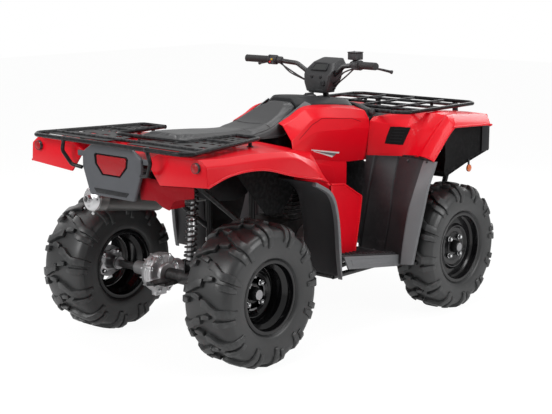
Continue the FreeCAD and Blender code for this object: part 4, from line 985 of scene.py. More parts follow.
@dataclass
class RearFender:
    """The rear deck: its skin, the wings folded down to the leg guards, back faces, lips, and liners whose
    dark colours paint the shade under the deck.
    """

    stations: tuple = (
        (-994, [(522, 772), (516, 850), (480, 876), (250, 872), (185, 846)]),
        (-870, [(528, 806), (520, 846), (485, 868), (245, 870), (180, 846)]),
        (-700, [(530, 806), (520, 846), (485, 866), (235, 870), (170, 846)]),
        (-500, [(505, 756), (512, 830), (480, 852), (230, 866), (165, 846)]),
        (-400, [(500, 734), (505, 790), (470, 822), (225, 852), (160, 846)]),
        (-310, [(490, 716), (488, 738), (455, 790), (222, 830), (158, 842)]),
    )
    crease: tuple = ((470, 692), (462, 703), (400, 722), (245, 764), (199, 772))
    foot: tuple = ((469, 678), (461, 679), (400, 681), (245, 686), (199, 688))

    def slanted(self, front: float, slope: float, line: Line) -> list[tuple[float, float, float]]:
        """Return a line on an upright plane that runs rearwards as y grows."""
        return [(front - slope * (y - 200), y, z) for y, z in line]

    def wing(self) -> Shape:
        """Build the front part of the left side, folded along its slanting crease."""
        edge = [(-310, y, z) for y, z in self.stations[-1][1]]
        lines = [edge, self.slanted(-30, 0.81, self.crease), self.slanted(4, 0.82, self.foot)]
        columns = [rounded(column, 16, 5) for column in zip(*lines)]
        return Shape().grid([rounded([c[k] for c in columns], 12, 4) for k in range(len(columns[0]))])

    def build(self) -> None:
        """Build the deck and all that is moulded onto it."""
        rows = loft([both_halves([(x, y, z) for y, z in line]) for x, line in self.stations], 6, 16)
        deck = Shape().grid(rows).made("fender_deck", GLOSS_RED, wall=PANEL_WALL, inside=(-600, 0, 500))
        wings = self.wing().mirror().made("fender_wings", GLOSS_RED, wall=PANEL_WALL, inside=(-600, 0, 300))
        back = Shape().prism([(521, 772), (514, 850), (479, 875), (250, 871), (186, 845), (262, 754)], -996,
                             -986, "x")
        lip = smooth_line([(x, line[0][0] + 0.5, line[0][1] + 3) for x, line in self.stations]
                          + [(-232, 466, 694)], 6)
        rim = Shape().tube(lip, 4.6, 10).mirror().made("fender_lips", GLOSS_RED)
        whole = joined("rear_fender_skin",
                       [deck, wings, back.mirror().made("fender_back", GLOSS_RED, bevel=3), rim])
        fit(whole, Slot.RED, "rear_fender")
        # The wheel-well walls are body red; their near-black paints the shade on them.
        well = [(-640, 846), (-250, 762), (-258, 640), (-330, 560), (-430, 560), (-560, 700), (-640, 790)]
        liner = Shape().prism(well, 296, 300).mirror().made("wheel_well_liners", BLACK_AND_PAINTED_SHADE, bevel=1.2)
        fit(liner, Slot.DARK)
        # The apron is body red; its darker red paints the shade under the rear of the deck.
        apron = [(-140, 772), (-437, 774), (-437, 721), (-371, 710), (-329, 699), (-303, 659), (-269, 667),
                 (-226, 688), (-140, 683)]
        under = Shape().prism(outline(apron, 8, 3), -985.5, -981.5, "x")
        under.prism([(-300, 662), (-300, 740), (-296, 740), (-296, 662)], -984, -900, "x")
        fit(under.made("fender_apron", PAINTED_SHADE_RED, bevel=1.2), Slot.RED)


@dataclass
class SidePanels:
    """The red panels beside the tank, their skirts, their stripes and a line of painted shade along their
    crease.
    """

    stations: tuple = (
        (-156, [(122, 906), (148, 897), (200, 832), (206, 800), (204, 770)]),
        (-85, [(121.5, 930), (152, 920), (200, 873), (209, 835), (206, 750)]),
        (15, [(122.3, 966), (152, 957), (198, 917), (211, 860), (206, 735)]),
        (200, [(122.3, 958), (160, 948), (203, 903), (213, 850), (204, 704)]),
        (300, [(122.3, 948), (172, 934), (207, 893), (214, 848), (203, 698)]),
        (372, [(122.3, 938), (186, 922), (212, 884), (214.7, 840), (202, 694)]),
    )
    skirt: tuple = ((-150, 790), (215, 712), (222, 690), (220, 598), (205, 560), (-60, 560), (-165, 690))
    # The crease line is a band of darker red that paints the shade along the panel's crease; the others are
    # stripes.
    stripes_and_crease_shade: tuple = (
        ("crease", PAINTED_SHADE_RED, ((-113, 838), (-25, 894), (46, 917), (254, 898), (319, 876)),
         ((-113, 835.5), (-24, 891), (46, 914), (254, 895.5), (319, 873.5))),
        ("upper", STRIPE_WHITE, ((-34, 785), (60, 769), (163, 752)), ((-34, 781), (60, 763), (160, 745))),
        ("lower", STRIPE_WHITE, ((-20, 777), (50, 758), (122, 739)), ((-18, 774), (50, 753), (112, 733))),
        ("middle", STRIPE_GREY, ((30, 768), (80, 759), (140, 748)), ((30, 764), (80, 751), (128, 738))),
    )

    def build(self) -> None:
        """Build both panels."""
        rows = loft([[(x, y, z) for y, z in line] for x, line in self.stations], 6, 9)
        upper = Shape().grid(rows).mirror().made("side_upper", GLOSS_RED, wall=PANEL_WALL, bevel=1.2,
                                                 inside=(100, 0, 780))
        skirt = Shape().prism(outline(self.skirt, 14, 5), 199, 203.4).mirror().made(
            "side_skirts", GLOSS_RED, bevel=1.2)
        pocket = outline([(-96, 742), (120, 694), (150, 600), (-50, 590)], 26, 5)
        raised = Shape().prism(pocket, 203, 206).mirror().made("side_pads", GLOSS_RED, bevel=2.4, segments=3)
        panel = joined("side_panel_skins", [upper, skirt, raised])
        fit(panel, Slot.RED, "side_panels")
        for label, finish, first, second in self.stripes_and_crease_shade:
            for side in Side:
                edges = [[(x, 208 * side.value, z) for x, z in edge] for edge in (first, second)]
                band = draped(f"stripe_{label}_{side.word}", finish, panel, *edges, lift=0.5)
                fit(band, Slot.RED)


@dataclass
class FrontFenders:
    """The front wings, with their vents and the seams along the shields."""

    lines: tuple = (
        (215, [(354, 694), (374, 875), (400, 893), (700, 898), (985, 872), (1000, 838)]),
        (350, [(439, 717), (515, 838), (600, 905), (680, 908), (984, 876), (1000, 840)]),
        (450, [(415, 727), (545, 840), (636, 897), (690, 900), (984, 873), (998, 838)]),
        (490, [(390, 737), (520, 850), (592, 902), (640, 902), (930, 879), (945, 842)]),
        (535, [(388, 730), (500, 838), (560, 880), (590, 884), (880, 862), (892, 842)]),
        (565, [(388, 719), (492, 816), (545, 855), (560, 858), (836, 844), (844, 838)]),
    )

    def build(self) -> None:
        """Build both wings."""
        rows = loft([[(x, y, z) for x, z in line] for y, line in self.lines], 5, 12)
        skin = Shape().grid(rows).mirror().made("wing_skins", GLOSS_RED, wall=PANEL_WALL, bevel=1.2,
                                                inside=(650, 0, 300))
        lower = self.lines[-1][1]
        edge = smooth_line([(x, 565, z) for x, z in lower], 6)
        lip = Shape().tube(edge, 4.4, 10).mirror().made("wing_lips", GLOSS_RED)
        whole = joined("front_fender_skins", [skin, lip])
        fit(whole, Slot.RED, "front_fenders")
        for side in Side:
            s = side.value
            frame_edges = (((435, 292 * s, 850), (508, 354 * s, 850)),
                           ((400, 282 * s, 774), (458, 346 * s, 768)))
            fit(draped(f"vent_frame_{side.word}", BLACK_AND_PAINTED_SHADE, whole, *frame_edges, lift=1.2), Slot.DARK)
            for i in range(5):
                t = 0.12 + 0.17 * i
                a, b = (Vector(e[0]).lerp(Vector(e[1]), 0.2) for e in frame_edges)
                c, d = (Vector(e[0]).lerp(Vector(e[1]), 0.8) for e in frame_edges)
                upper, under = (a.lerp(b, t), c.lerp(d, t)), (a.lerp(b, t + 0.08), c.lerp(d, t + 0.08))
                louvre = draped(f"vent_louvre_{i}_{side.word}", RACK_BLACK, whole, upper, under, lift=2.4)
                fit(louvre, Slot.DARK)
            seam = ((384, 228 * s, 700), (440, 345 * s, 716), (412, 455 * s, 726), (390, 540 * s, 730))
            higher = tuple((x + 2.5, y, z + 4.5) for x, y, z in seam)
            backing = Shape().grid([[(x + 5, y, z + rise) for x, y, z in seam] for rise in (-24, 6)])
            strip = backing.made(f"seam_backing_{side.word}", SHIELD_GREY, wall=2, inside=(600, 0, 700))
            fit(strip, Slot.DARK)
            # The seam band is body red darkened, painting the shade along the wing's edge at the seam.
            fit(draped(f"wing_seam_{side.word}", PAINTED_SHADE_RED, whole, seam, higher, lift=0.4), Slot.RED)


@dataclass
class Tank:
    """The charcoal tank cover, its side bands and its filler cap."""

    sections: tuple = ((4.3, 88, 905, 996), (60, 122, 905, 1000), (200, 122, 900, 990), (345, 122, 880, 972),
                       (392, 110, 880, 955))

    def build(self) -> None:
        """Build the cover, the side bands and the cap."""
        stations = [both_halves([(x, half, low), (x, half, high - 30), (x, half - 34, high)])
                    for x, half, low, high in self.sections]
        cover = Shape().grid(loft(stations, 5, 18, 5), wrap_columns=True, caps=True).made(
            "cover", CHARCOAL, bevel=3, segments=3, angle=50)
        ring = Shape().lathe([(981, 34), (985, 35), (988, 40), (986, 46), (978, 47)], 48, centre=(196, 0, 0),
                             axis=(0, 0, 1)).made("filler_ring", CHARCOAL)
        fit(joined("tank_shell", [cover, ring]), Slot.DARK, "tank_cover")
        band = Shape().grid([[(-118, 112, 917), (36, 110, 985)], [(-98, 124, 902), (64, 124, 970)]]).mirror()
        fit(band.made("tank_bands", FLANGE_GREY, wall=3, inside=(0, 0, 900)), Slot.DARK)
        knob = Shape().lathe([(970, 33), (984, 33), (992, 31), (996, 26), (998, 0.1)], 48, centre=(196, 0, 0),
                             axis=(0, 0, 1))
        for i in range(16):
            a = math.pi * i / 8
            knob.block((194, -2.2, 974), (198, 2.2, 990))
            for k in range(8):
                p = knob.points[-8 + k] - Vector((196, 0, 0))
                p = Matrix.Rotation(a, 3, "Z") @ (p + Vector((33, 0, 0)))
                knob.points[-8 + k] = p + Vector((196, 0, 0))
        knob.block((170, -6, 994), (222, 6, 1004))
        fit(knob.made("filler_cap", CONTROL_BLACK, bevel=1.2), Slot.DARK, "tank_cap")


@dataclass
class FrontDeck:
    """The charcoal deck under the front carrier, with its cowl, lid and ribs."""

    def build(self) -> None:
        """Build the deck."""
        rows = []
        for y in (214.7, 150, 100, 40, -40, -100, -150, -214.7):
            rise = 880 if abs(y) > 120 else 903
            rows.append([(405, y, rise), (560, y, rise + 8 if abs(y) > 120 else 903), (985, y, 868),
                         (1003, y, 835)])
        skin = Shape().grid(loft(rows, 3, 16)).made("deck_skin", CHARCOAL, wall=PANEL_WALL, bevel=1,
                                                    inside=(650, 0, 500))
        shoulder = [(122.6, 878), (208, 878), (206, 886), (188, 926), (140, 942), (122.6, 944)]
        cowl = Shape().prism(shoulder, 372.6, 420, "x").mirror().made("cowl", CHARCOAL, bevel=5, segments=3)
        bridge = Shape().prism([(-123, 878), (123, 878), (123, 944), (60, 952), (-60, 952), (-123, 944)],
                               392.6, 420, "x").made("bridge", CHARCOAL, bevel=4, segments=3)
        lid = Shape().prism([(600, -84), (760, -84), (760, 84), (600, 84)], 893, 901, "z").made(
            "lid", CHARCOAL, bevel=4, segments=3)
        ribs = Shape()
        for i in range(5):
            ribs.block((790 + 34 * i, -92, 876 - 4 * i), (800 + 34 * i, 92, 888 - 3.4 * i))
        fit(joined("front_deck", [skin, cowl, bridge, lid, ribs.made("deck_ribs", CHARCOAL, bevel=2)]),
            Slot.DARK, "front_cover")
        knob = Shape().lathe([(-3, 15), (8, 15), (12, 13), (14, 9), (14, 0.1)], 28, centre=(398, 206, 912),
                             axis=(0, 1, 0.1))
        fit(knob.mirror().made("cowl_knobs", CONTROL_BLACK, bevel=0.8), Slot.DARK)


@dataclass
class LegShields:
    """The grooved shields behind the front wheels, and their paler outer flanges."""

    levels: tuple = (
        (262, [(296, 215), (280, 330), (246, 500), (270, 542)]),
        (360, [(304, 215), (285, 340), (247, 510), (285, 552)]),
        (500, [(318, 215), (300, 345), (267, 520), (312, 565)]),
        (600, [(330, 215), (345, 348), (312, 522), (337, 570)]),
        (690, [(346, 215), (412, 345), (375, 512), (378, 574)]),
        (718, [(351, 215), (428, 345), (396, 510), (391, 574)]),
    )
    grooves: tuple = ((224, 382), (236, 396), (252, 408), (254, 382), (252, 352), (252, 348))

    def level(self, index: int) -> list[tuple[float, float, float]]:
        """Return the line across the shield at one level, with its two grooves let in."""
        height, line = self.levels[index]
        depths = [(y, x) for x, y in line]
        points = [line[0]]
        for middle in self.grooves[index]:
            for shift, sink in ((-8, 0.0), (-5, 7.0), (5, 7.0), (8, 0.0)):
                points.append((between(depths, middle + shift) + sink, middle + shift))
        points += [(between(depths, 470), 470), line[2]]
        return [(x, y, height) for x, y in points]

    def build(self) -> None:
        """Build both shields."""
        columns = [smooth_line(c, 6) for c in zip(*[self.level(i) for i in range(len(self.levels))])]
        rows = [[c[k] for c in columns] for k in range(len(columns[0]))]
        sheet = Shape().grid(rows).mirror().made("shield_sheets", SHIELD_GREY, wall=PANEL_WALL, bevel=1.2,
                                                 inside=(900, 0, 450), angle=20)
        band = [[(line[2][0] - 1, line[2][1] - 2, z), (line[3][0], line[3][1], z),
                 (line[3][0] + 16, line[3][1] + 1, z)] for z, line in self.levels]
        flange = Shape().grid(loft(band, 6, 7, 4)).mirror().made(
            "shield_flanges", FLANGE_GREY, wall=PANEL_WALL, bevel=1.2, inside=(900, 0, 450))
        spots = [((404, 413 * s, 706), (-0.9, 0.0, 0.2)) for s in (-1, 1)]
        spots += [((390, 528 * s, 712), (-0.9, 0.0, 0.2)) for s in (-1, 1)]
        heads = bolts("shield_bolts", spots, 4.5, CONTROL_BLACK)
        fit(joined("leg_shield_skins", [sheet, flange]), Slot.DARK, "leg_shields")
        fit(heads, Slot.STEEL)


def step_top(x: float) -> float:
    """Return the height of the foot step's top at a place along the vehicle."""
    return 300.0 + (282 - x) * 0.144


@dataclass
class Steps:
    """The sloping foot steps with their treads, teeth and skirts."""

    def build(self) -> None:
        """Build both steps."""
        plan = [(-174, 197), (280, 197), (266, 330), (240, 476), (-140, 476), (-150, 300)]
        plate = Shape().prism(plan, -6, 0, "z")
        for i in range(9):
            plate.block((-104 + 40 * i, 226, -1), (-94 + 40 * i, 452, 4.5))
        plate.block((-150, 462, -1), (244, 474, 6))
        plate.block((-148, 206, -1), (276, 214, 5))
        for i in range(18):
            x = -130 + 20.5 * i
            plate.prism([(x, 460), (x + 9, 460), (x + 7, 472), (x + 2, 472)], 3, 12, "z")
        skirt = Shape().prism([(258, 0), (-140, 0), (-108, -56), (256, -52)], 476.5, 485.5)
        skirt.prism([(200, -12), (-96, -12), (-82, -40), (204, -38)], 484, 487.5)
        for shape in (plate, skirt):
            shape.points = [p + Vector((0, 0, step_top(p.x))) for p in shape.points]
        made = [plate.mirror().made("step_plates", SHIELD_GREY, bevel=1.4),
                skirt.mirror().made("step_skirts", FLANGE_GREY, bevel=2.2, segments=3)]
        fit(joined("foot_steps", made), Slot.GREY, "footwells")
        spots = [((x, 340 * s, step_top(x)), (0, 0, 1)) for s in (-1, 1) for x in (-140, 255)]
        fit(bolts("step_bolts", spots, 5, CONTROL_BLACK), Slot.STEEL)


@dataclass
class LegGuards:
    """The slanting red guards, and the grey mudguards with their flanges ahead of the rear wheels."""

    plan: tuple = ((-287, 462), (-205, 462), (-38, 400), (100, 361), (150, 350))
    upper_edge: tuple = ((-287, 678), (-205, 680), (-38, 653), (145, 571))
    rear_line: tuple = ((-352, 712), (-250, 655), (-206, 560), (-188, 420), (-184, 286))

    def inward(self, x: float) -> float:
        """Return how far out the guard stands at a place along the vehicle."""
        return between(self.plan, x)

    def top(self, x: float) -> float:
        """Return the height of the guard's upper edge."""
        return between(self.upper_edge, x)

    def build(self) -> None:
        """Build both sides."""
        rows = []
        for i in range(9):
            t = i / 8
            rear, ahead = -205 + 30 * t, 145 - 15 * t - 50 * t ** 1.6
            line = []
            for k in range(9):
                x = rear + (ahead - rear) * k / 8
                foot = step_top(x) + 0.5
                dish = 2.5 if 0.1 < t < 0.9 and 0 < k < 8 else 0
                line.append((x, self.inward(x) - dish, self.top(x) + (foot - self.top(x)) * t))
            rows.append(line)
        sheet = Shape().grid(rows).mirror().made("guard_sheets", GLOSS_RED, wall=PANEL_WALL, bevel=1.4,
                                                 inside=(-50, 0, 450))
        lining = Shape().grid([[(x, y - 7, z) for x, y, z in line] for line in rows])
        lining.prism([(-140, 770), (205, 700), (212, 600), (198, 566), (-60, 566), (-150, 690)], 190, 194)
        dark = lining.mirror().made("guard_linings", FRAME_BLACK, wall=1.5, inside=(-50, 0, 450))
        fit(dark, Slot.DARK)
        edge = [(x, self.inward(x), self.top(x) - 1) for x in (-205, -120, -38, 30, 90, 145)]
        edge += [(128, self.inward(128), 490), (84, self.inward(84), 332)]
        lip = Shape().tube(rounded(edge, 14, 4), 4.4, 10).mirror().made("guard_lips", GLOSS_RED)
        fit(joined("leg_guard_skins", [sheet, lip]), Slot.RED, "leg_guards")
        line = smooth_line([(x, 0, z) for x, z in self.rear_line], 5)
        guard = Shape().grid([[(p.x, y, p.z) for p in line] for y in (301, 340, 420, 485.6)]).mirror().made(
            "wheel_guards", SHIELD_GREY, wall=PANEL_WALL, bevel=1.2, inside=(-600, 0, 300))
        fit(guard, Slot.DARK, "rear_guards")
        sweep = smooth_line([(x, 0, z) for x, z in (*self.rear_line[:-1], (-178, 272))], 6)
        rows = []
        for i, p in enumerate(sweep):
            ahead = sweep[min(i + 1, len(sweep) - 1)] - sweep[max(i - 1, 0)]
            off = Vector((ahead.z, 0, -ahead.x)).normalized()
            off = off if off.x > 0 else -off
            wide = 15.0 * min(1.0, 0.25 + (len(sweep) - 1 - i) / 6)
            rows.append([p + Vector((0, y, 0)) + off * d
                         for y, d in ((486.6, 0), (507, 0), (508, -3), (508, -wide), (505, -wide - 1),
                                      (486.6, -wide - 1))])
        flare = Shape().grid(rows, wrap_columns=True, caps=True).mirror().made(
            "flares", FLANGE_GREY, bevel=1.5)
        fit(flare, Slot.GREY, "rear_flares")


@dataclass
class TailPanel:
    """The grey panel at the rear, its sunk frame, the lamp and the reflectors."""

    edge: tuple = ((-120, 880), (120, 880), (174, 846), (174, 786), (131, 676), (-131, 676), (-174, 786),
                   (-174, 846))
    lens: tuple = ((-88, 842), (88, 842), (84, 806), (48, 768), (-48, 768), (-84, 806))

    def build(self) -> None:
        """Build the panel, the lamp and the reflectors."""
        ring = outline(self.edge, 14, 4)
        hole = [(y * 1.16, 805 + (z - 805) * 1.16) for y, z in outline(self.lens, 7, 6)]
        hole = self.matched(ring, hole)
        outer, inner = [(-997.3, y, z) for y, z in ring], [(-1009, y, z) for y, z in ring]
        face = [(-1012, y * 0.965, 778 + (z - 778) * 0.965) for y, z in ring]
        brim = [(-1012, y, z) for y, z in hole]
        well = [(-1006.5, y * 0.97, 805 + (z - 805) * 0.97) for y, z in hole]
        panel = Shape().grid([outer, inner, face, brim, well], wrap_columns=True)
        panel.faces.append(tuple(len(panel.points) - 1 - k for k in range(len(ring))))
        panel.faces.append(tuple(range(len(ring))))
        shell = panel.made("tail_shell", TAIL_GREY, bevel=0.8, angle=28)
        foot = Shape().prism([(-104, 706), (104, 706), (88, 688), (-88, 688)], -1014.5, -1011, "x")
        flange = Shape().block((-1001, -215, 826), (-996.3, 215, 848)).made(
            "tail_flange", TAIL_GREY, bevel=0.6)
        # The black surround paints the shade in the recess round the lens.
        frame_rows = [[(x, y * size, 805 + (z - 805) * size) for y, z in outline(self.lens, 7, 6)]
                      for x, size in ((-1005, 1.13), (-1013.4, 1.13), (-1013.4, 1.1), (-1008, 1.02),
                                      (-1005, 1.02))]
        surround = Shape().grid(frame_rows, wrap_columns=True).made("lens_surround", BLACK_AND_PAINTED_SHADE, bevel=0.6)
        pieces = [shell, foot.made("tail_foot", CHARCOAL, bevel=1.2), flange, surround]
        fit(joined("tail_panel_shell", pieces), Slot.GREY, "tail_panel")
        lamp = Shape().prism(outline(self.lens, 7, 5), -1011.7, -1006.6, "x")
        fit(lamp.made("tail_lens", LENS_RED, bevel=1.6, segments=3), Slot.RED_LENS, "tail_lamp")
        glass, cup = Shape(), Shape()
        for s in (-1, 1):
            glass.lathe([(2, 18.4), (11.4, 18.4), (12.8, 16), (13.4, 0.1)], 40, centre=(-996.3, 466 * s, 843),
                        axis=(-1, 0, 0))
            cup.lathe([(0.2, 20), (11.2, 20), (12, 19.6), (12, 18.4), (1, 18.4)], 40, closed=True,
                      centre=(-996.3, 466 * s, 843), axis=(-1, 0, 0))
        fit(glass.made("reflector_lenses", LENS_RED), Slot.RED_LENS, "reflectors")
        fit(cup.made("reflector_cups", CONTROL_BLACK), Slot.DARK)

    def matched(self, ring: list, hole: list) -> list:
        """Return the hole's outline with one point for each of the ring's, by the way they face."""
        found = []
        for y, z in ring:
            turn = math.atan2(z - 790, y)
            away = [abs(math.remainder(math.atan2(v - 800, u) - turn, math.tau)) for u, v in hole]
            found.append(hole[away.index(min(away))])
        return found


@dataclass
class Nose:
    """The nose band with its grille, lamps, inner liners and amber reflectors."""

    plan: tuple = ((900, 488), (970, 488), (1002, 440), (1010, 200), (1010, -200), (1002, -440), (970, -488),
                   (900, -488))

    def build(self) -> None:
        """Build the nose."""
        line = rounded([(x, y, 0) for x, y in self.plan], 30, 5)
        rows = []
        for z, out in ((701, -4), (706, 0), (732, 0), (734, -10), (806, -10), (808, 0), (828, 0), (835, -4)):
            row = []
            for p in line:
                lamp = 244 < abs(p.y) < 416 or abs(p.y) < 156
                sunk = out if out > -8 or lamp else 0
                row.append((p.x + sunk, p.y * (1 + min(sunk, 0) * 0.0004), z))
            rows.append(row)
        band = Shape().grid(rows).made("nose_band", CHARCOAL, wall=PANEL_WALL, bevel=0.8,
                                       inside=(850, 0, 770), angle=25)
        # The arch liners are black plastic, made darker still to paint the deep shade inside the front wheel
        # arches.
        liner = [(966, 836), (968, 704), (764, 657), (606, 612), (590, 640), (600, 700), (596, 780),
                 (640, 836), (760, 850)]
        rows = [[(780 + (x - 780) * size, y, 745 + (z - 745) * size) for x, z in outline(liner, 16, 4)]
                for size, y in ((0.99, 479.6), (1.0, 484), (0.96, 484), (0.9, 470), (0.84, 436), (0.3, 428))]
        wall = Shape().grid(rows, wrap_columns=True, caps=True)
        for i in range(4):
            wall.block((690 + 62 * i, 430, 690 + 8 * i), (696 + 62 * i, 450, 800))
        under = Shape().prism([(966, 704), (764, 657), (606, 612), (590, 640), (600, 646), (760, 676),
                               (962, 716)], 300, 480)
        dark = joined("arch_liners", [wall.mirror().made("liner_walls", BLACK_AND_PAINTED_SHADE, bevel=1.2),
                                      under.mirror().made("liner_floors", BLACK_AND_PAINTED_SHADE, bevel=1.2)])
        slats = Shape()
        for i in range(6):
            z = 740 + 11.5 * i
            slats.prism([(z, 1006), (z + 5, 1008), (z + 4, 996), (z - 1, 994)], -152, 152)
            slats.points[-8:] = [Vector((p.z, p.y, p.x)) for p in slats.points[-8:]]
        fit(joined("nose", [band, slats.made("grille_slats", RACK_BLACK, bevel=0.9)]), Slot.DARK, "fascia")
        fit(dark, Slot.DARK)
        self.lamps()
        amber, tab = Shape(), Shape()
        amber.lathe([(484.4, 17.4), (492, 17.4), (493.8, 14), (493.8, 0.1)], 28, centre=(792, 0, 634))
        tab.block((786, 484.4, 648), (798, 488, 676))
        pieces = [amber.mirror().made("amber_lenses", LENS_ORANGE, bevel=0.6),
                  tab.mirror().made("amber_tabs", CHARCOAL)]
        fit(joined("amber_reflectors", pieces), Slot.AMBER_LENS, "front_reflectors")

    def lamps(self) -> None:
        """Build the headlamps: bowls, bulbs, bezels and clear lenses."""
        bowl, lens, bezel = Shape(), Shape(), Shape()
        bowl.lathe([(938, 10), (950, 24), (975, 33), (1003, 34.4), (1003, 36), (972, 36), (944, 26),
                    (936, 12)], 40, closed=True, centre=(0, 330, 770), axis=(1, 0, 0))
        bowl.lathe([(944, 7), (968, 7), (974, 3), (975, 0.1)], 20, centre=(0, 330, 770), axis=(1, 0, 0))
        ring = outline([(251, 736), (409, 736), (409, 804), (251, 804)], 16, 5)
        lens.prism(ring, 1004.5, 1009.5, "x")
        small = [(330 + (y - 330) * 0.93, 770 + (z - 770) * 0.88) for y, z in ring]
        outer, inner = [(1006, y, z) for y, z in ring], [(1012, y, z) for y, z in ring]
        near, back = [(1011, y, z) for y, z in small], [(990, y, z) for y, z in small]
        bezel.grid([outer, inner, near, back], wrap_columns=True)
        plate = Shape().prism(small, 984, 988, "x")
        fit(lens.mirror().made("lamp_lenses", LENS_CLEAR, bevel=1.5), Slot.CLEAR, "headlamps")
        fit(bowl.mirror().made("lamp_bowls", SILVER_METAL), Slot.STEEL)
        pieces = [bezel.mirror().made("lamp_bezels", CONTROL_BLACK),
                  plate.mirror().made("lamp_backs", CONTROL_BLACK)]
        fit(joined("lamp_housings", pieces), Slot.DARK)


# Seat, carriers and hand controls


@dataclass
class Seat:
    """The stuffed seat with its sewn edges, laid on the rear deck."""

    sections: tuple = (
        (-757, 122, 847, 880), (-733, 143, 847, 901), (-560, 146, 847, 893), (-363, 142, 847, 884),
        (-290, 138, 847, 886), (-200, 136, 843, 901), (-120, 128, 843, 931), (-40, 106, 876, 967),
        (1, 84, 921, 984),
    )
    voxel: float = 6.0
    pressure: float = 4.0
    frames: int = 20
    most: float = 7.0

    def swollen(self, pad: Piece) -> Piece:
        """Blow the pad up as stuffed cloth over its flat underside.

        Args:
            pad: The pad, slightly too small.

        Returns:
            The pad with the result in its mesh.
        """
        fine = pad.modifiers.new("even", "REMESH")
        fine.mode, fine.voxel_size = "VOXEL", self.voxel * MM
        settle(pad)
        before = [v.co.copy() for v in pad.data.vertices]
        held = pad.vertex_groups.new(name="held")
        for v in pad.data.vertices:
            flat = v.normal.z < -0.5 or v.co.x > -0.004
            held.add([v.index], 1.0 if flat else 0.0, "REPLACE")
        cloth = pad.modifiers.new("stuffing", "CLOTH")
        cloth.settings.use_pressure = True
        cloth.settings.uniform_pressure_force = self.pressure
        cloth.settings.effector_weights.gravity = 0.0
        cloth.settings.vertex_group_mass = "held"
        for moment in range(1, self.frames + 1):
            bpy.context.scene.frame_set(moment)
        settle(pad)
        for v, start in zip(pad.data.vertices, before):
            move = v.co - start
            if move.length > self.most * MM:
                v.co = start + move.normalized() * self.most * MM
        bpy.context.scene.frame_set(1)
        return pad

    def seam(self, pad: Piece, line: Line) -> Shape:
        """Return a welt that follows the pad's surface near a line."""
        spots = []
        for guess in smooth_line(line, 16):
            _, spot, normal, _ = pad.closest_point_on_mesh(guess * MM)
            spots.append(spot / MM + normal * 0.5)
        return Shape().tube(spots, 1.9, 8)

    def build(self) -> None:
        """Build the pad and its welts."""
        stations = [both_halves([(x, half - 4, low), (x, half, low + 14), (x, half - 3, high - 20),
                                 (x, half - 32, high)]) for x, half, low, high in self.sections]
        pad = Shape().grid(loft(stations, 4, 16, 4), wrap_columns=True, caps=True).made(
            "seat_pad", SEAT_VINYL)
        self.swollen(pad)
        subdivide = pad.modifiers.new("smooth", "SUBSURF")
        subdivide.levels = subdivide.render_levels = 1
        settle(pad)
        pad.data.shade_smooth()
        fit(pad, Slot.SEAT, "seat")
        welts = []
        for side in Side:
            rim = [(x, side.value * (half - 14), high - 4) for x, half, _, high in self.sections[1:-1]]
            foot = [(x, side.value * (half + 2), low + 13) for x, half, low, _ in self.sections[1:-1]]
            for label, line in (("rim", rim), ("foot", foot)):
                welts.append(self.seam(pad, line).made(f"welt_{label}_{side.word}", SEAT_VINYL))
        across = [(-196, -104, 880), (-214, -60, 905), (-222, 0, 907), (-214, 60, 905), (-196, 104, 880)]
        welts.append(self.seam(pad, across).made("welt_across", SEAT_VINYL))
        fit(joined("seat_welts", welts), Slot.SEAT)


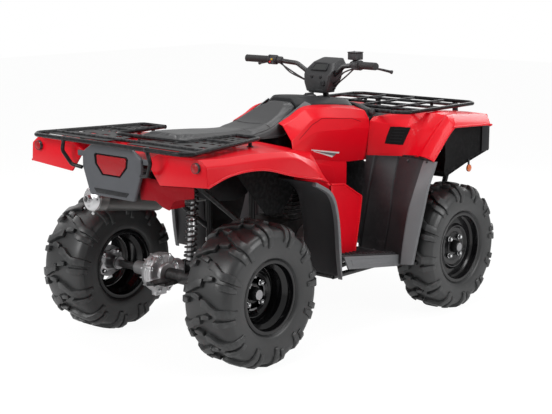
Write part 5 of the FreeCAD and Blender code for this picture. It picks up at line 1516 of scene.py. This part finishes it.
@dataclass
class Racks:
    """The tubular carriers with their pierced plates, posts and hooks."""

    rear_level: float = 896.0
    front_level: float = 917.0

    def plate(self, side: Side) -> Piece:
        """Build a pierced plate of the rear carrier: rows of cells, every other one left open."""
        shape, s = Shape(), side.value
        along, across = 19, 9
        rows = []
        for i in range(along + 1):
            x = -560 - 420 * i / along
            inner = 206 if x > -818 else 206 - 146 * min(1.0, (-818 - x) / 30)
            outer = 350 + 102 * i / along
            rows.append([(x, s * (inner + (outer - inner) * j / across), self.rear_level)
                         for j in range(across + 1)])
        shape.grid(rows)
        shape.faces = [f for k, f in enumerate(shape.faces)
                       if not ((k // across) % 2 and (k % across) % 2) or (k // across) % 6 == 5]
        return shape.made(f"rack_plate_{side.word}", RACK_BLACK, wall=3, bevel=1.0, inside=(-700, 0, 0))

    def rear(self) -> None:
        """Build the rear carrier."""
        z = self.rear_level
        bars, plates = Shape(), [self.plate(side) for side in Side]
        half = [(-520, 215, z), (-520, 345, z), (-1004, 462, z), (-1046, 425, z)]
        bars.tube(rounded(both_halves(half), 28), 9, 14)
        bars.tube(rounded([(-520, 215, z), (-812, 200, z), (-812, -200, z), (-520, -215, z)], 40), 9, 14)
        bars.tube([(-925, -440, z), (-925, 440, z)], 7)
        for s in (-1, 1):
            bars.tube([(-520, s * 222, z), (-520, s * 206, z)], 9)
            bars.tube([(-700, s * 206, z), (-700, s * 388, z)], 7)
            for x, y, top in ((-560, 240, 868), (-900, 300, 874), (-560, 330, 862)):
                bars.lathe([(top + 2, 14), (top + 5, 14), (top + 6, 8), (z, 8)], 20, centre=(x, s * y, 0),
                           axis=(0, 0, 1))
            hook = [(-1046, s * 246, z), (-1042, s * 262, 846), (-1024, s * 226, 790), (-1012, s * 177, 782)]
            bars.tube(rounded(hook, 24), 8, 14)
            bars.lathe([(-9, 0.1), (-9, 11), (9, 11), (9, 0.1)], 20, centre=(-1046, s * 246, z),
                       axis=(0, 0, 1))
        fit(joined("rear_carrier", [bars.made("rear_bars", RACK_BLACK), *plates]), Slot.RACK, "rear_rack")

    def front(self) -> None:
        """Build the front carrier."""
        z = self.front_level
        bars = Shape()
        half = [(430, 300, z), (470, 372, z), (990, 372, z), (1026, 330, z)]
        bars.tube(rounded(both_halves(half), 30), 9, 14).tube([(432, -300, z), (432, 300, z)], 9, 14)
        for x in (560, 720, 880):
            bars.tube([(x, -372, z), (x, 372, z)], 7)
        for y in (-180, 0, 180):
            bars.tube([(560, y, z), (1022, y, z)], 6)
        for s in (-1, 1):
            for x, top in ((560, 892), (880, 880)):
                bars.lathe([(top + 2, 14), (top + 5, 14), (top + 6, 8), (z, 8)], 20, centre=(x, s * 205, 0),
                           axis=(0, 0, 1))
        fit(bars.made("front_carrier", RACK_BLACK), Slot.RACK, "front_rack")

    def guard(self) -> None:
        """Build the tubular bumper."""
        bars = Shape()
        for s in (-1, 1):
            line = [(780, 84, 250), (880, 110, 262), (1035, 165, 420), (1041, 215, 640), (1041, 240, 790),
                    (1030, 240, 907.7)]
            bars.tube(rounded([(x, s * y, z) for x, y, z in line], 60), 14, 16)
            bars.block((776.7, s * 84 - 16, 236), (788, s * 84 + 16, 264))
        for y, z in ((178, 470), (214, 640), (238, 780)):
            bars.tube([(1040, -y, z), (1040, y, z)], 11, 14)
        fit(bars.made("bumper", RACK_BLACK, bevel=0.8), Slot.FRAME, "front_guard")

    def build(self) -> None:
        """Build both carriers and the bumper."""
        self.rear()
        self.front()
        self.guard()


@dataclass
class Cockpit:
    """The handlebar, grips, switchgear, levers, cables and the display pod."""

    centre: tuple = (288.4, 70, 1080.4)
    knee: tuple = (232.0, 250.0, 1141.0)
    end: tuple = (188.0, 387.0, 1145.0)
    rings: tuple = ((1.0, 0, 1016), (1.22, 8, 1056), (1.28, 14, 1092), (1.35, 34, 1112), (1.0, 50, 1146))

    def on_bar(self, side: Side, distance: float) -> tuple[Vector, Vector]:
        """Return the point on the bar that far in from its end, and the way inwards."""
        end = Vector((self.end[0], self.end[1] * side.value, self.end[2]))
        way = (Vector((self.knee[0], self.knee[1] * side.value, self.knee[2])) - end).normalized()
        return end + way * distance, way

    def bar(self) -> None:
        """Build the bar."""
        half = [self.end, self.knee, (272, 140, 1128), self.centre]
        shape = Shape().tube(rounded(both_halves(half), 40, 8), 11, 16)
        fit(shape.made("bar", BAR_BLACK), Slot.BAR, "handlebar", body="steering")

    def grips(self) -> None:
        """Build the ribbed grips."""
        profile = [(-3, 0.1), (-3, 13), (-1, 16), (3, 17)]
        for i in range(17):
            profile += [(6 + 6.4 * i, 17.0), (9.2 + 6.4 * i, 16.1)]
        profile += [(116, 17), (118, 22.4), (120, 23), (125, 22.6), (125, 11.2)]
        shape = Shape()
        for side in Side:
            start, way = self.on_bar(side, 0)
            shape.lathe(profile, 32, centre=start, axis=way)
        fit(shape.made("grip_pair", GRIP_RUBBER, angle=50), Slot.GRIP, "grips", body="steering")

    def switches(self, side: Side) -> None:
        """Build one side's switch housing, perch and lever, and the fluid reservoir on the right."""
        s = side.value
        start, way = self.on_bar(side, 127)
        perch = start + way * 40
        ahead = Vector((0.93, 0.36 * s, -0.05)).normalized()
        shape = Shape()
        shape.lathe([(0, 18), (1.5, 22.5), (15.5, 22.8), (16, 21.8), (17, 21.8), (17.5, 22.8), (32.5, 22.5),
                     (34, 18)], 28, centre=start, axis=way)
        shape.lathe([(34, 15), (36, 17), (58, 17), (60, 15)], 24, centre=start, axis=way)
        knee = perch + ahead * 42
        shape.tube([perch, perch + ahead * 20, knee], lambda t: 10 - 2 * t, 14)
        shape.lathe([(-8, 0.1), (-8, 7), (8, 7), (8, 0.1)], 16, centre=knee, axis=(0, 0, 1))
        lever = smooth_line([knee, (272, 285 * s, 1131), (284, 340 * s, 1124), (292, 400 * s, 1114)], 8)
        shape.tube(lever, lambda t: 6.6 - 1.6 * math.sin(math.pi * t) + (2.2 if t > 0.93 else 0), 12)
        spot = start + way * 17
        shape.block(spot - Vector((24, 15, 17)), spot + Vector((-4, 15, 8)))
        pieces = [shape.made("housing", CONTROL_BLACK, bevel=1.5, segments=3, angle=30)]
        if side is Side.RIGHT:
            pot = Shape().block((216, -258, 1164), (264, -206, 1194))
            pot.block((214.5, -259.5, 1194), (265.5, -204.5, 1200))
            pot.tube([perch, perch + Vector((3, 3, 26))], 9)
            pieces.append(pot.made("reservoir", CONTROL_BLACK, bevel=4, segments=3))
            screws = [((222, -252, 1199.5), (0, 0, 1)), ((258, -212, 1199.5), (0, 0, 1))]
            pieces.append(bolts("lid_screws", screws, 3, STEEL))
        else:
            for finish, lift, reach in ((BUTTON_YELLOW, 3, -6), (BUTTON_RED, -9, 5)):
                face = spot + Vector((-24, reach, lift))
                pieces.append(Shape().block(face - Vector((3.5, 5, 4.5)), face + Vector((1, 5, 4.5))).made(
                    "button", finish, bevel=1.4))
        label = side.word
        fit(joined(f"switchgear_{label}", pieces), Slot.CONTROL, f"controls_{label}", body="steering")

    def cables(self) -> None:
        """Build the cables that run from the hand controls under the pod, all on the steering."""
        shape = Shape()
        for side in Side:
            s = side.value
            for i, (x, z) in enumerate(((246, 1118), (262, 1126))):
                start, _ = self.on_bar(side, 166 + 8 * i)
                line = [start + Vector((10, 0, -14)), (x - 8, 170 * s, z - 14 - 26 * i),
                        (x + 18, 112 * s, z - 52 - 18 * i), (x + 42, 66 * s, 1040 - 12 * i)]
                shape.tube(smooth_line(line, 10), 3.6, 10)
            shape.tube(smooth_line([(300, 64 * s, 1040), (314, 54 * s, 1018), (312, 34 * s, 1007)], 8), 4.2,
                       10)
        fit(shape.made("bar_cables", CONTROL_BLACK), Slot.CONTROL, body="steering")

    def pod(self) -> None:
        """Build the display pod with its sunk screen, bezel and knob."""
        rows = []
        for grow, shift, z in self.rings:
            corners = [(283 + shift + dx * grow * 0.9, y * grow, z + dx * 0.22) for dx, y in
                       ((47, 62), (47, -62), (-47, -62), (-47, 62))]
            rows.append(rounded(corners, 16, 5, closed=True))
        shell = Shape().grid(rows, wrap_columns=True, caps=True).made(
            "pod_shell", CONTROL_BLACK, bevel=4, segments=3, angle=20)
        low, high = Vector((254.5, 0, 1100)), Vector((289, 0, 1138))
        up = (high - low).normalized()
        out = Vector((-up.z, 0, up.x))

        def on_face(line: Line, lift: float) -> list[Vector]:
            """Return places on the pod's slanting face, (across, up), lifted off it."""
            return [low + up * v + Vector((0, u, 0)) + out * lift for u, v in line]

        edge = outline([(-50, 4), (50, 4), (42, 48), (-42, 48)], 8, 5)
        glass = [(u * 0.78, 26 + (v - 26) * 0.74) for u, v in edge]
        brim = Shape().grid([on_face(edge, -3), on_face(edge, 3), on_face(glass, 2), on_face(glass, -1)],
                            wrap_columns=True).made("pod_bezel", CHARCOAL)
        screen = Shape().grid([on_face(glass, -4), on_face(glass, 0.6)], wrap_columns=True, caps=True).made(
            "pod_screen", SCREEN)
        keys = Shape()
        for y in (-26, 26):
            keys.lathe([(-4, 8), (3, 8), (4.5, 6.5), (5, 0.1)], 24, centre=(243, y, 1074), axis=(-1, 0, 0.05))
        knob = Shape().lathe([(-4, 13), (9, 12), (11, 10), (11.5, 0.1)], 28, centre=(242, -44, 1046),
                             axis=(-1, 0, 0))
        collar = Shape().block((240, -46, 1000), (326, 46, 1022)).made("pod_foot", CHARCOAL, bevel=5)
        pieces = [shell, brim, screen, keys.made("pod_keys", CHARCOAL), knob.made("pod_knob", CHARCOAL),
                  collar]
        fit(joined("pod", pieces), Slot.CONTROL, "console", body="steering")

    def build(self) -> None:
        """Build everything that the rider holds or reads."""
        self.bar()
        self.grips()
        for side in Side:
            self.switches(side)
        self.cables()
        self.pod()


# Exhaust, drive, shocks and engine


@dataclass
class Exhaust:
    """The muffler with its bright tail cap, and the head pipe."""

    rear: tuple = (-935.0, 225.0, 634.0)
    way: tuple = (0.99123, 0.0, -0.13216)

    def build(self) -> None:
        """Build the muffler, the pipe and the bracket."""
        body = [(11, 52.2), (16, 52.2), (18, 50), (60, 50), (62, 51.2), (66, 51.2), (68, 50), (350, 50),
                (352, 51.6), (372, 51.6), (378, 51), (438, 20), (446, 19)]
        cap = [(-22, 12), (-22, 17), (-4, 17), (-2, 20), (-1, 30), (1, 35), (5, 46), (11, 51), (15, 52.6),
               (19, 52.6)]
        hole = [(-22, 12.2), (30, 11.8), (30, 0.1)]
        parts = [Shape().lathe(body, 48, centre=self.rear, axis=self.way).made("muffler_body", MUFFLER_METAL)]
        tail = Shape().lathe(cap + [(19, 0.1)], 48, centre=self.rear, axis=self.way)
        tail.lathe([(-5, 4), (0, 6), (3, 6), (4, 0.1)], 12, centre=(-930, 222, 674), axis=self.way)
        tail.tube([(-918, 225, 586), (-918, 225, 566)], 6).tube([(-918, 225, 574), (-918, 225, 570)], 9)
        parts.append(tail.made("muffler_cap", SILVER_METAL, angle=30))
        bore = Shape().lathe(hole, 24, centre=self.rear, axis=self.way)
        parts.append(bore.made("muffler_bore", FRAME_BLACK))
        line = [(-520, 225, 578.7), (-430, 222, 566), (-240, 172, 560), (130, 156, 600), (226, 76, 640),
                (172, 10, 684)]
        parts.append(Shape().tube(rounded(line, 50, 8), 19, 20).made("head_pipe", MUFFLER_METAL))
        spots = [((-935 + 14 * math.cos(a), 225 + 42 * math.sin(a), 634 + 42 * math.cos(a)), (-1, 0, 0.13))
                 for a in (0.6, 2.7, 4.8)]
        parts.append(bolts("cap_bolts", [((x - 2, y, z), way) for (x, y, z), way in spots], 4, STEEL))
        fit(joined("exhaust_system", parts), Slot.EXHAUST, "exhaust")


@dataclass
class FinalDrive:
    """The cast case round the rear shaft, with its ribs and bolts, and the bright rear hubs."""

    x: float = -673.0
    z: float = AXLE_HEIGHT + 4.0

    def build(self) -> None:
        """Build the case, its bolts, and the lobed flanges inside the rear wheels."""
        case = Shape().lathe([(40, 40), (42, 46), (58, 47), (61, 66), (62.5, 78), (66, 83), (76, 84),
                              (78, 81), (90, 81), (92, 85), (104, 85), (106, 81), (120, 80), (130, 70),
                              (134, 60), (145, 58), (150, 44), (160, 40), (162, 30), (231, 29)], 64,
                             centre=(self.x, 0, self.z))
        for i in range(12):
            a = math.pi * i / 6 + 0.2
            c, s = math.cos(a), math.sin(a)
            rib = [(48 * c - 2.2 * s, 48 * s + 2.2 * c), (80 * c - 2.2 * s, 80 * s + 2.2 * c),
                   (80 * c + 2.2 * s, 80 * s - 2.2 * c), (48 * c + 2.2 * s, 48 * s - 2.2 * c)]
            web = [(self.x + u, self.z + v) for u, v in rib]
            case.prism(web, 55, 66).prism(web, 122, 134)
        case.tube([(self.x + 8 + 44, 100, self.z - 4), (-556, 100, self.z - 4)], lambda t: 52 - 8 * t, 28)
        case.lathe([(0, 12), (10, 12), (10, 9)], 20, centre=(self.x - 52, 97, self.z + 60),
                   axis=(-0.7, 0, 0.8))
        case.block((self.x - 30, 84, self.z - 98), (self.x + 30, 112, self.z - 78))
        spots = []
        for i in range(8):
            a = math.radians(45 * i + 20)
            place_x, place_z = self.x + 77 * math.cos(a), self.z + 77 * math.sin(a)
            case.lathe([(63, 9.6), (64, 10.6), (102, 10.6), (103, 9)], 18, centre=(place_x, 0, place_z))
            spots.append(((place_x, 63, place_z), (0, -1, 0)))
        pieces = [case.made("drive_case", CAST_ALLOY, bevel=1.0, angle=28),
                  bolts("drive_bolts", spots, 6, NUT_CHROME)]
        fit(joined("drive_casing", pieces), Slot.ENGINE, "final_drive")
        flange, nuts = Shape(), Shape()
        ring = []
        for i in range(72):
            a = 2 * math.pi * i / 72
            reach = 58 + 13 * math.cos(4 * (a - math.pi / 4))
            ring.append((reach * math.cos(a), reach * math.sin(a)))
        flange.prism(ring, -10, -0.8).lathe([(-66, 28.5), (-14, 30), (-8, 38)], 36)
        for i in range(4):
            a = math.pi / 4 + math.pi * i / 2
            x, z = 55 * math.cos(a), 55 * math.sin(a)
            nuts.lathe([(-9, 11), (-12, 11), (-20, 10), (-24, 6), (-25, 0.1)], 20, centre=(x, 0, z))
        hub = joined("hub", [flange.made("hub_flange", SILVER_METAL, bevel=1.2),
                             nuts.made("hub_nuts", NUT_CHROME)])
        twin = linked("hub_twin", hub.data.copy())
        for piece, side in ((hub, Side.LEFT), (twin, Side.RIGHT)):
            piece.name = f"rear_hub_{side.word}"
            fit(place(piece, REAR_AXLE_X, REAR_WHEEL_Y, AXLE_HEIGHT, side), Slot.STEEL, body="rear_wheels")


@dataclass
class Shocks:
    """The coil-over units: bright damper, collars, eyes and black spring."""

    wire: float = 4.5

    def unit(self, foot: Point, head: Point, radius: float, pin: Point) -> list[Piece]:
        """Build one unit between its two pins."""
        foot, head = Vector(foot), Vector(head)
        way, length = (head - foot).normalized(), (head - foot).length
        aside = way.orthogonal().normalized()
        other = way.cross(aside)
        turns = max(round((length - 83) / 21), 3)
        line = []
        for k in range(turns * 18 + 1):
            a = 2 * math.pi * k / 18
            along = 41 + (length - 84) * k / (turns * 18)
            out = aside * math.cos(a) + other * math.sin(a)
            line.append(foot + way * along + out * (radius - self.wire))
        spring = Shape().tube(line, self.wire + 0.6, 8).made("coil", SPRING_BLACK)
        damper = Shape().lathe([(14, 15), (16, 17), (length * 0.55, 17), (length * 0.56, 15),
                                (length * 0.56, 8), (length - 14, 8)], 28, centre=foot, axis=way)
        collars = Shape().lathe([(26, 17), (29, radius + 1), (36, radius + 1), (36, 16)], 32, centre=foot,
                                axis=way)
        collars.lathe([(length - 38, 9), (length - 38, radius + 1), (length - 30, radius + 1),
                       (length - 20, 16), (length - 12, 12)], 32, centre=foot, axis=way)
        for end in (foot, head):
            collars.lathe([(-12, 5.4), (-12, 12), (-11, 13), (11, 13), (12, 12), (12, 5.4)], 24, centre=end,
                          axis=pin)
        return [spring, damper.made("damper", SILVER_METAL), collars.made("collars", FRAME_BLACK)]

    def build(self) -> None:
        """Build the rear unit and the two front ones."""
        rear = self.unit((REAR_AXLE_X, -84, AXLE_HEIGHT + 68), (-640, -84, 704), 27, (0, 1, 0))
        fit(joined("rear_coil_over", rear), Slot.SHOCK, "rear_shock")
        front = []
        for s in (-1, 1):
            foot, head = (FRONT_AXLE_X, 364 * s, 405), (FRONT_AXLE_X, 214 * s, 690)
            front += self.unit(foot, head, 30, (1, 0, 0))
        fit(joined("front_coil_overs", front), Slot.SHOCK, "front_shocks")


@dataclass
class Engine:
    """The engine with its fins, covers and bolts, the air box above it and the splash sheet ahead."""

    def build(self) -> None:
        """Build the engine, the air box and the sheets round it."""
        case = [(-285, 300), (-240, 236), (200, 234), (235, 256), (235, 400), (90, 455), (-190, 450),
                (-280, 390)]
        block = Shape().prism(outline(case, 30, 5), -107.8, 107.8)
        block.prism([(-40, 430), (95, 430), (150, 640), (20, 665)], -78, 78)
        block.prism([(8, 640), (162, 620), (176, 700), (26, 716)], -87.8, 87.8)
        for i in range(9):
            low, shift = 456 + 18.5 * i, 40 * (26 + 18.5 * i) / 210
            block.block((-46 + shift, -98, low), (118 + shift, 98, low + 4.5))
        covers, spots = Shape(), []
        for y, reach, radius, x, z in ((108, 52, 88, 60, 340), (108, 38, 74, -130, 345),
                                       (-108, 58, 92, 60, 340), (-108, 34, 70, -140, 345)):
            s = math.copysign(1, y)
            covers.lathe([(106, radius), (106 + reach * 0.5, radius), (106 + reach - 6, radius - 6),
                          (108 + reach - 0.5, radius - 20), (108 + reach - 6, radius - 26),
                          (108 + reach - 6, radius * 0.4), (108 + reach - 0.5, radius * 0.34),
                          (108 + reach - 0.5, 0.1)], 48, centre=(x, 0, z), axis=(0, s, 0))
            for k in range(7):
                a = 2 * math.pi * k / 7
                seat = (x + (radius - 9) * math.cos(a), s * (104 + reach), z + (radius - 9) * math.sin(a))
                spots.append((seat, (0, s, 0)))
        pieces = [block.made("crankcase", ENGINE_BLACK, bevel=2.5), covers.made("covers", CAST_ALLOY),
                  bolts("cover_bolts", spots, 5, STEEL)]
        fit(joined("engine_unit", pieces), Slot.ENGINE, "engine")
        air = [(-560, 640), (-540, 612), (-420, 600), (-345, 620), (-345, 770), (-560, 779)]
        dark = Shape().prism(outline(air, 14, 4), -117, 117)
        dark.block((-300, -112, 735), (180, 112, 752)).block((-150, -110, 752), (150, 110, 880))
        sheet = [(304, 330), (318, 500), (330, 600), (346, 690)]
        rows = [[(p.x, y, p.z) for p in smooth_line([(x, 0, z) for x, z in sheet], 5)]
                for y in (-214, 0, 214)]
        splash = Shape().grid(rows).made("splash_sheet", CHARCOAL, wall=PANEL_WALL, inside=(600, 0, 450))
        boxes = dark.made("air_box", CHARCOAL, bevel=3)
        fit(joined("inner_plastics", [boxes, splash]), Slot.DARK)


ASSEMBLIES = (Wheels, RearFender, SidePanels, FrontFenders, Tank, FrontDeck, LegShields, Steps, LegGuards,
              TailPanel, Nose, Seat, Racks, Cockpit, Exhaust, FinalDrive, Shocks, Engine)


# Carried-over solids, studio and camera

CARRIED: dict[str, Finish] = {
    **dict.fromkeys(("frame_left", "frame_right", "frame_cross", "swingarm", "front_arms", "hitch",
                     "steering_column"), FRAME_BLACK),
    "front_drive": ENGINE_BLACK, "headlamps": LENS_CLEAR, "rear_axle": STEEL,
}


def dress_carried() -> None:
    """Give every carried-over solid its finish."""
    for name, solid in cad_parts.items():
        finish = CARRIED.get(name, STEEL)
        solid.data.materials.clear()
        solid.data.materials.append(finish.material())


@dataclass
class Studio:
    """The pale floor, the soft lamps and the camera at the photograph's place."""

    camera_place: Point = (-4343.9, -3856.1, 1603.5)
    yaw: float = 41.822
    pitch: float = 10.794
    lens: float = 84.498
    ambient: float = 0.24
    gloss_share: float = 0.35
    floor_glow: float = 1.06
    floor_share: float = 0.9
    lamps: tuple = (
        ("top", (0.0, -400.0, 3600.0), 3000.0, 2000.0, 66.0),
        ("camera_left", (-3600.0, 900.0, 2300.0), 1500.0, 1500.0, 54.0),
        ("camera_right", (900.0, -3800.0, 2200.0), 1900.0, 1400.0, 52.0),
        ("front", (3800.0, 600.0, 2300.0), 2000.0, 1600.0, 26.0),
        ("far_side", (-300.0, 3800.0, 2300.0), 2200.0, 1600.0, 26.0),
    )

    def white_seen_directly(self, tree: Tree) -> Socket:
        """Return 1 for a ray from the camera or through glass, and a share of it off a glossy surface."""
        rays = tree.nodes.new("ShaderNodeLightPath")
        gloss = product(tree, rays.outputs["Is Glossy Ray"], self.gloss_share)
        first = calculate(tree, "MAXIMUM", rays.outputs["Is Camera Ray"], gloss)
        return calculate(tree, "MAXIMUM", first, rays.outputs["Is Transmission Ray"])

    def build_world(self) -> None:
        """Light the scene with a plain pale world that looks white."""
        world = bpy.data.worlds.new("studio")
        bpy.context.scene.world = world
        world.use_nodes = True
        tree = world.node_tree
        tree.nodes.clear()
        light, seen = (add_node(tree, "ShaderNodeBackground", {"Color": (1, 1, 1, 1), "Strength": strength})
                       for strength in (self.ambient, 1.0))
        mix = {0: self.white_seen_directly(tree), 1: light.outputs[0], 2: seen.outputs[0]}
        add_node(tree, "ShaderNodeOutputWorld", {0: add_node(tree, "ShaderNodeMixShader", mix).outputs[0]})

    def build_floor(self) -> None:
        """Lay the pale floor, which keeps a soft shadow."""
        mesh = bpy.data.meshes.new("studio_floor")
        r = 14.0
        mesh.from_pydata([(-r, -r, 0), (r, -r, 0), (r, r, 0), (-r, r, 0)], [], [(0, 1, 2, 3)])
        floor = linked("studio_floor", mesh)
        made = bpy.data.materials.new("studio_floor")
        made.use_nodes = True
        tree = made.node_tree
        matt = {"Base Color": (0.97, 0.97, 0.97, 1), "Roughness": 0.9, "Specular IOR Level": 0.0}
        surface = feed(tree, tree.nodes["Principled BSDF"], matt)
        glow = add_node(tree, "ShaderNodeEmission", {"Strength": self.floor_glow})
        share = product(tree, self.white_seen_directly(tree), self.floor_share)
        mix = add_node(tree, "ShaderNodeMixShader", {0: share, 1: surface.outputs[0], 2: glow.outputs[0]})
        feed(tree, tree.nodes["Material Output"], {"Surface": mix.outputs[0]})
        mesh.materials.append(made)

    def build_lamps(self) -> None:
        """Hang the soft lamps, all aimed at the middle of the vehicle."""
        for name, spot, wide, high, power in self.lamps:
            data = bpy.data.lights.new(name, "AREA")
            data.shape = "RECTANGLE"
            data.size, data.size_y = wide * MM, high * MM
            data.energy = power
            lamp = linked(name, data)
            lamp.location = Vector(spot) * MM
            lamp.rotation_euler = (Vector((0, 0, 0.5)) - lamp.location).to_track_quat("-Z", "Y").to_euler()

    def build_camera(self) -> None:
        """Stand the camera where the photograph was taken from."""
        data = bpy.data.cameras.new("camera")
        data.lens, data.sensor_width = self.lens, 36.0
        camera = linked("camera", data)
        camera.location = Vector(self.camera_place) * MM
        yaw, pitch = math.radians(self.yaw), math.radians(self.pitch)
        ahead = Vector((math.cos(pitch) * math.cos(yaw), math.cos(pitch) * math.sin(yaw), -math.sin(pitch)))
        camera.rotation_euler = ahead.to_track_quat("-Z", "Y").to_euler()
        bpy.context.scene.camera = camera

    def build(self) -> None:
        """Build the whole studio."""
        self.build_world()
        self.build_floor()
        self.build_lamps()
        self.build_camera()
        bpy.context.scene.view_settings.view_transform = "Standard"


def main() -> None:
    """Build the vehicle's pieces in order, then the studio."""
    logging.basicConfig(level=logging.INFO, format="%(message)s")
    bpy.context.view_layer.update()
    dress_carried()
    for assembly in ASSEMBLIES:
        log.info("building %s", assembly.__name__)
        assembly().build()
    Studio().build()


if __name__ == "__main__":
    main()
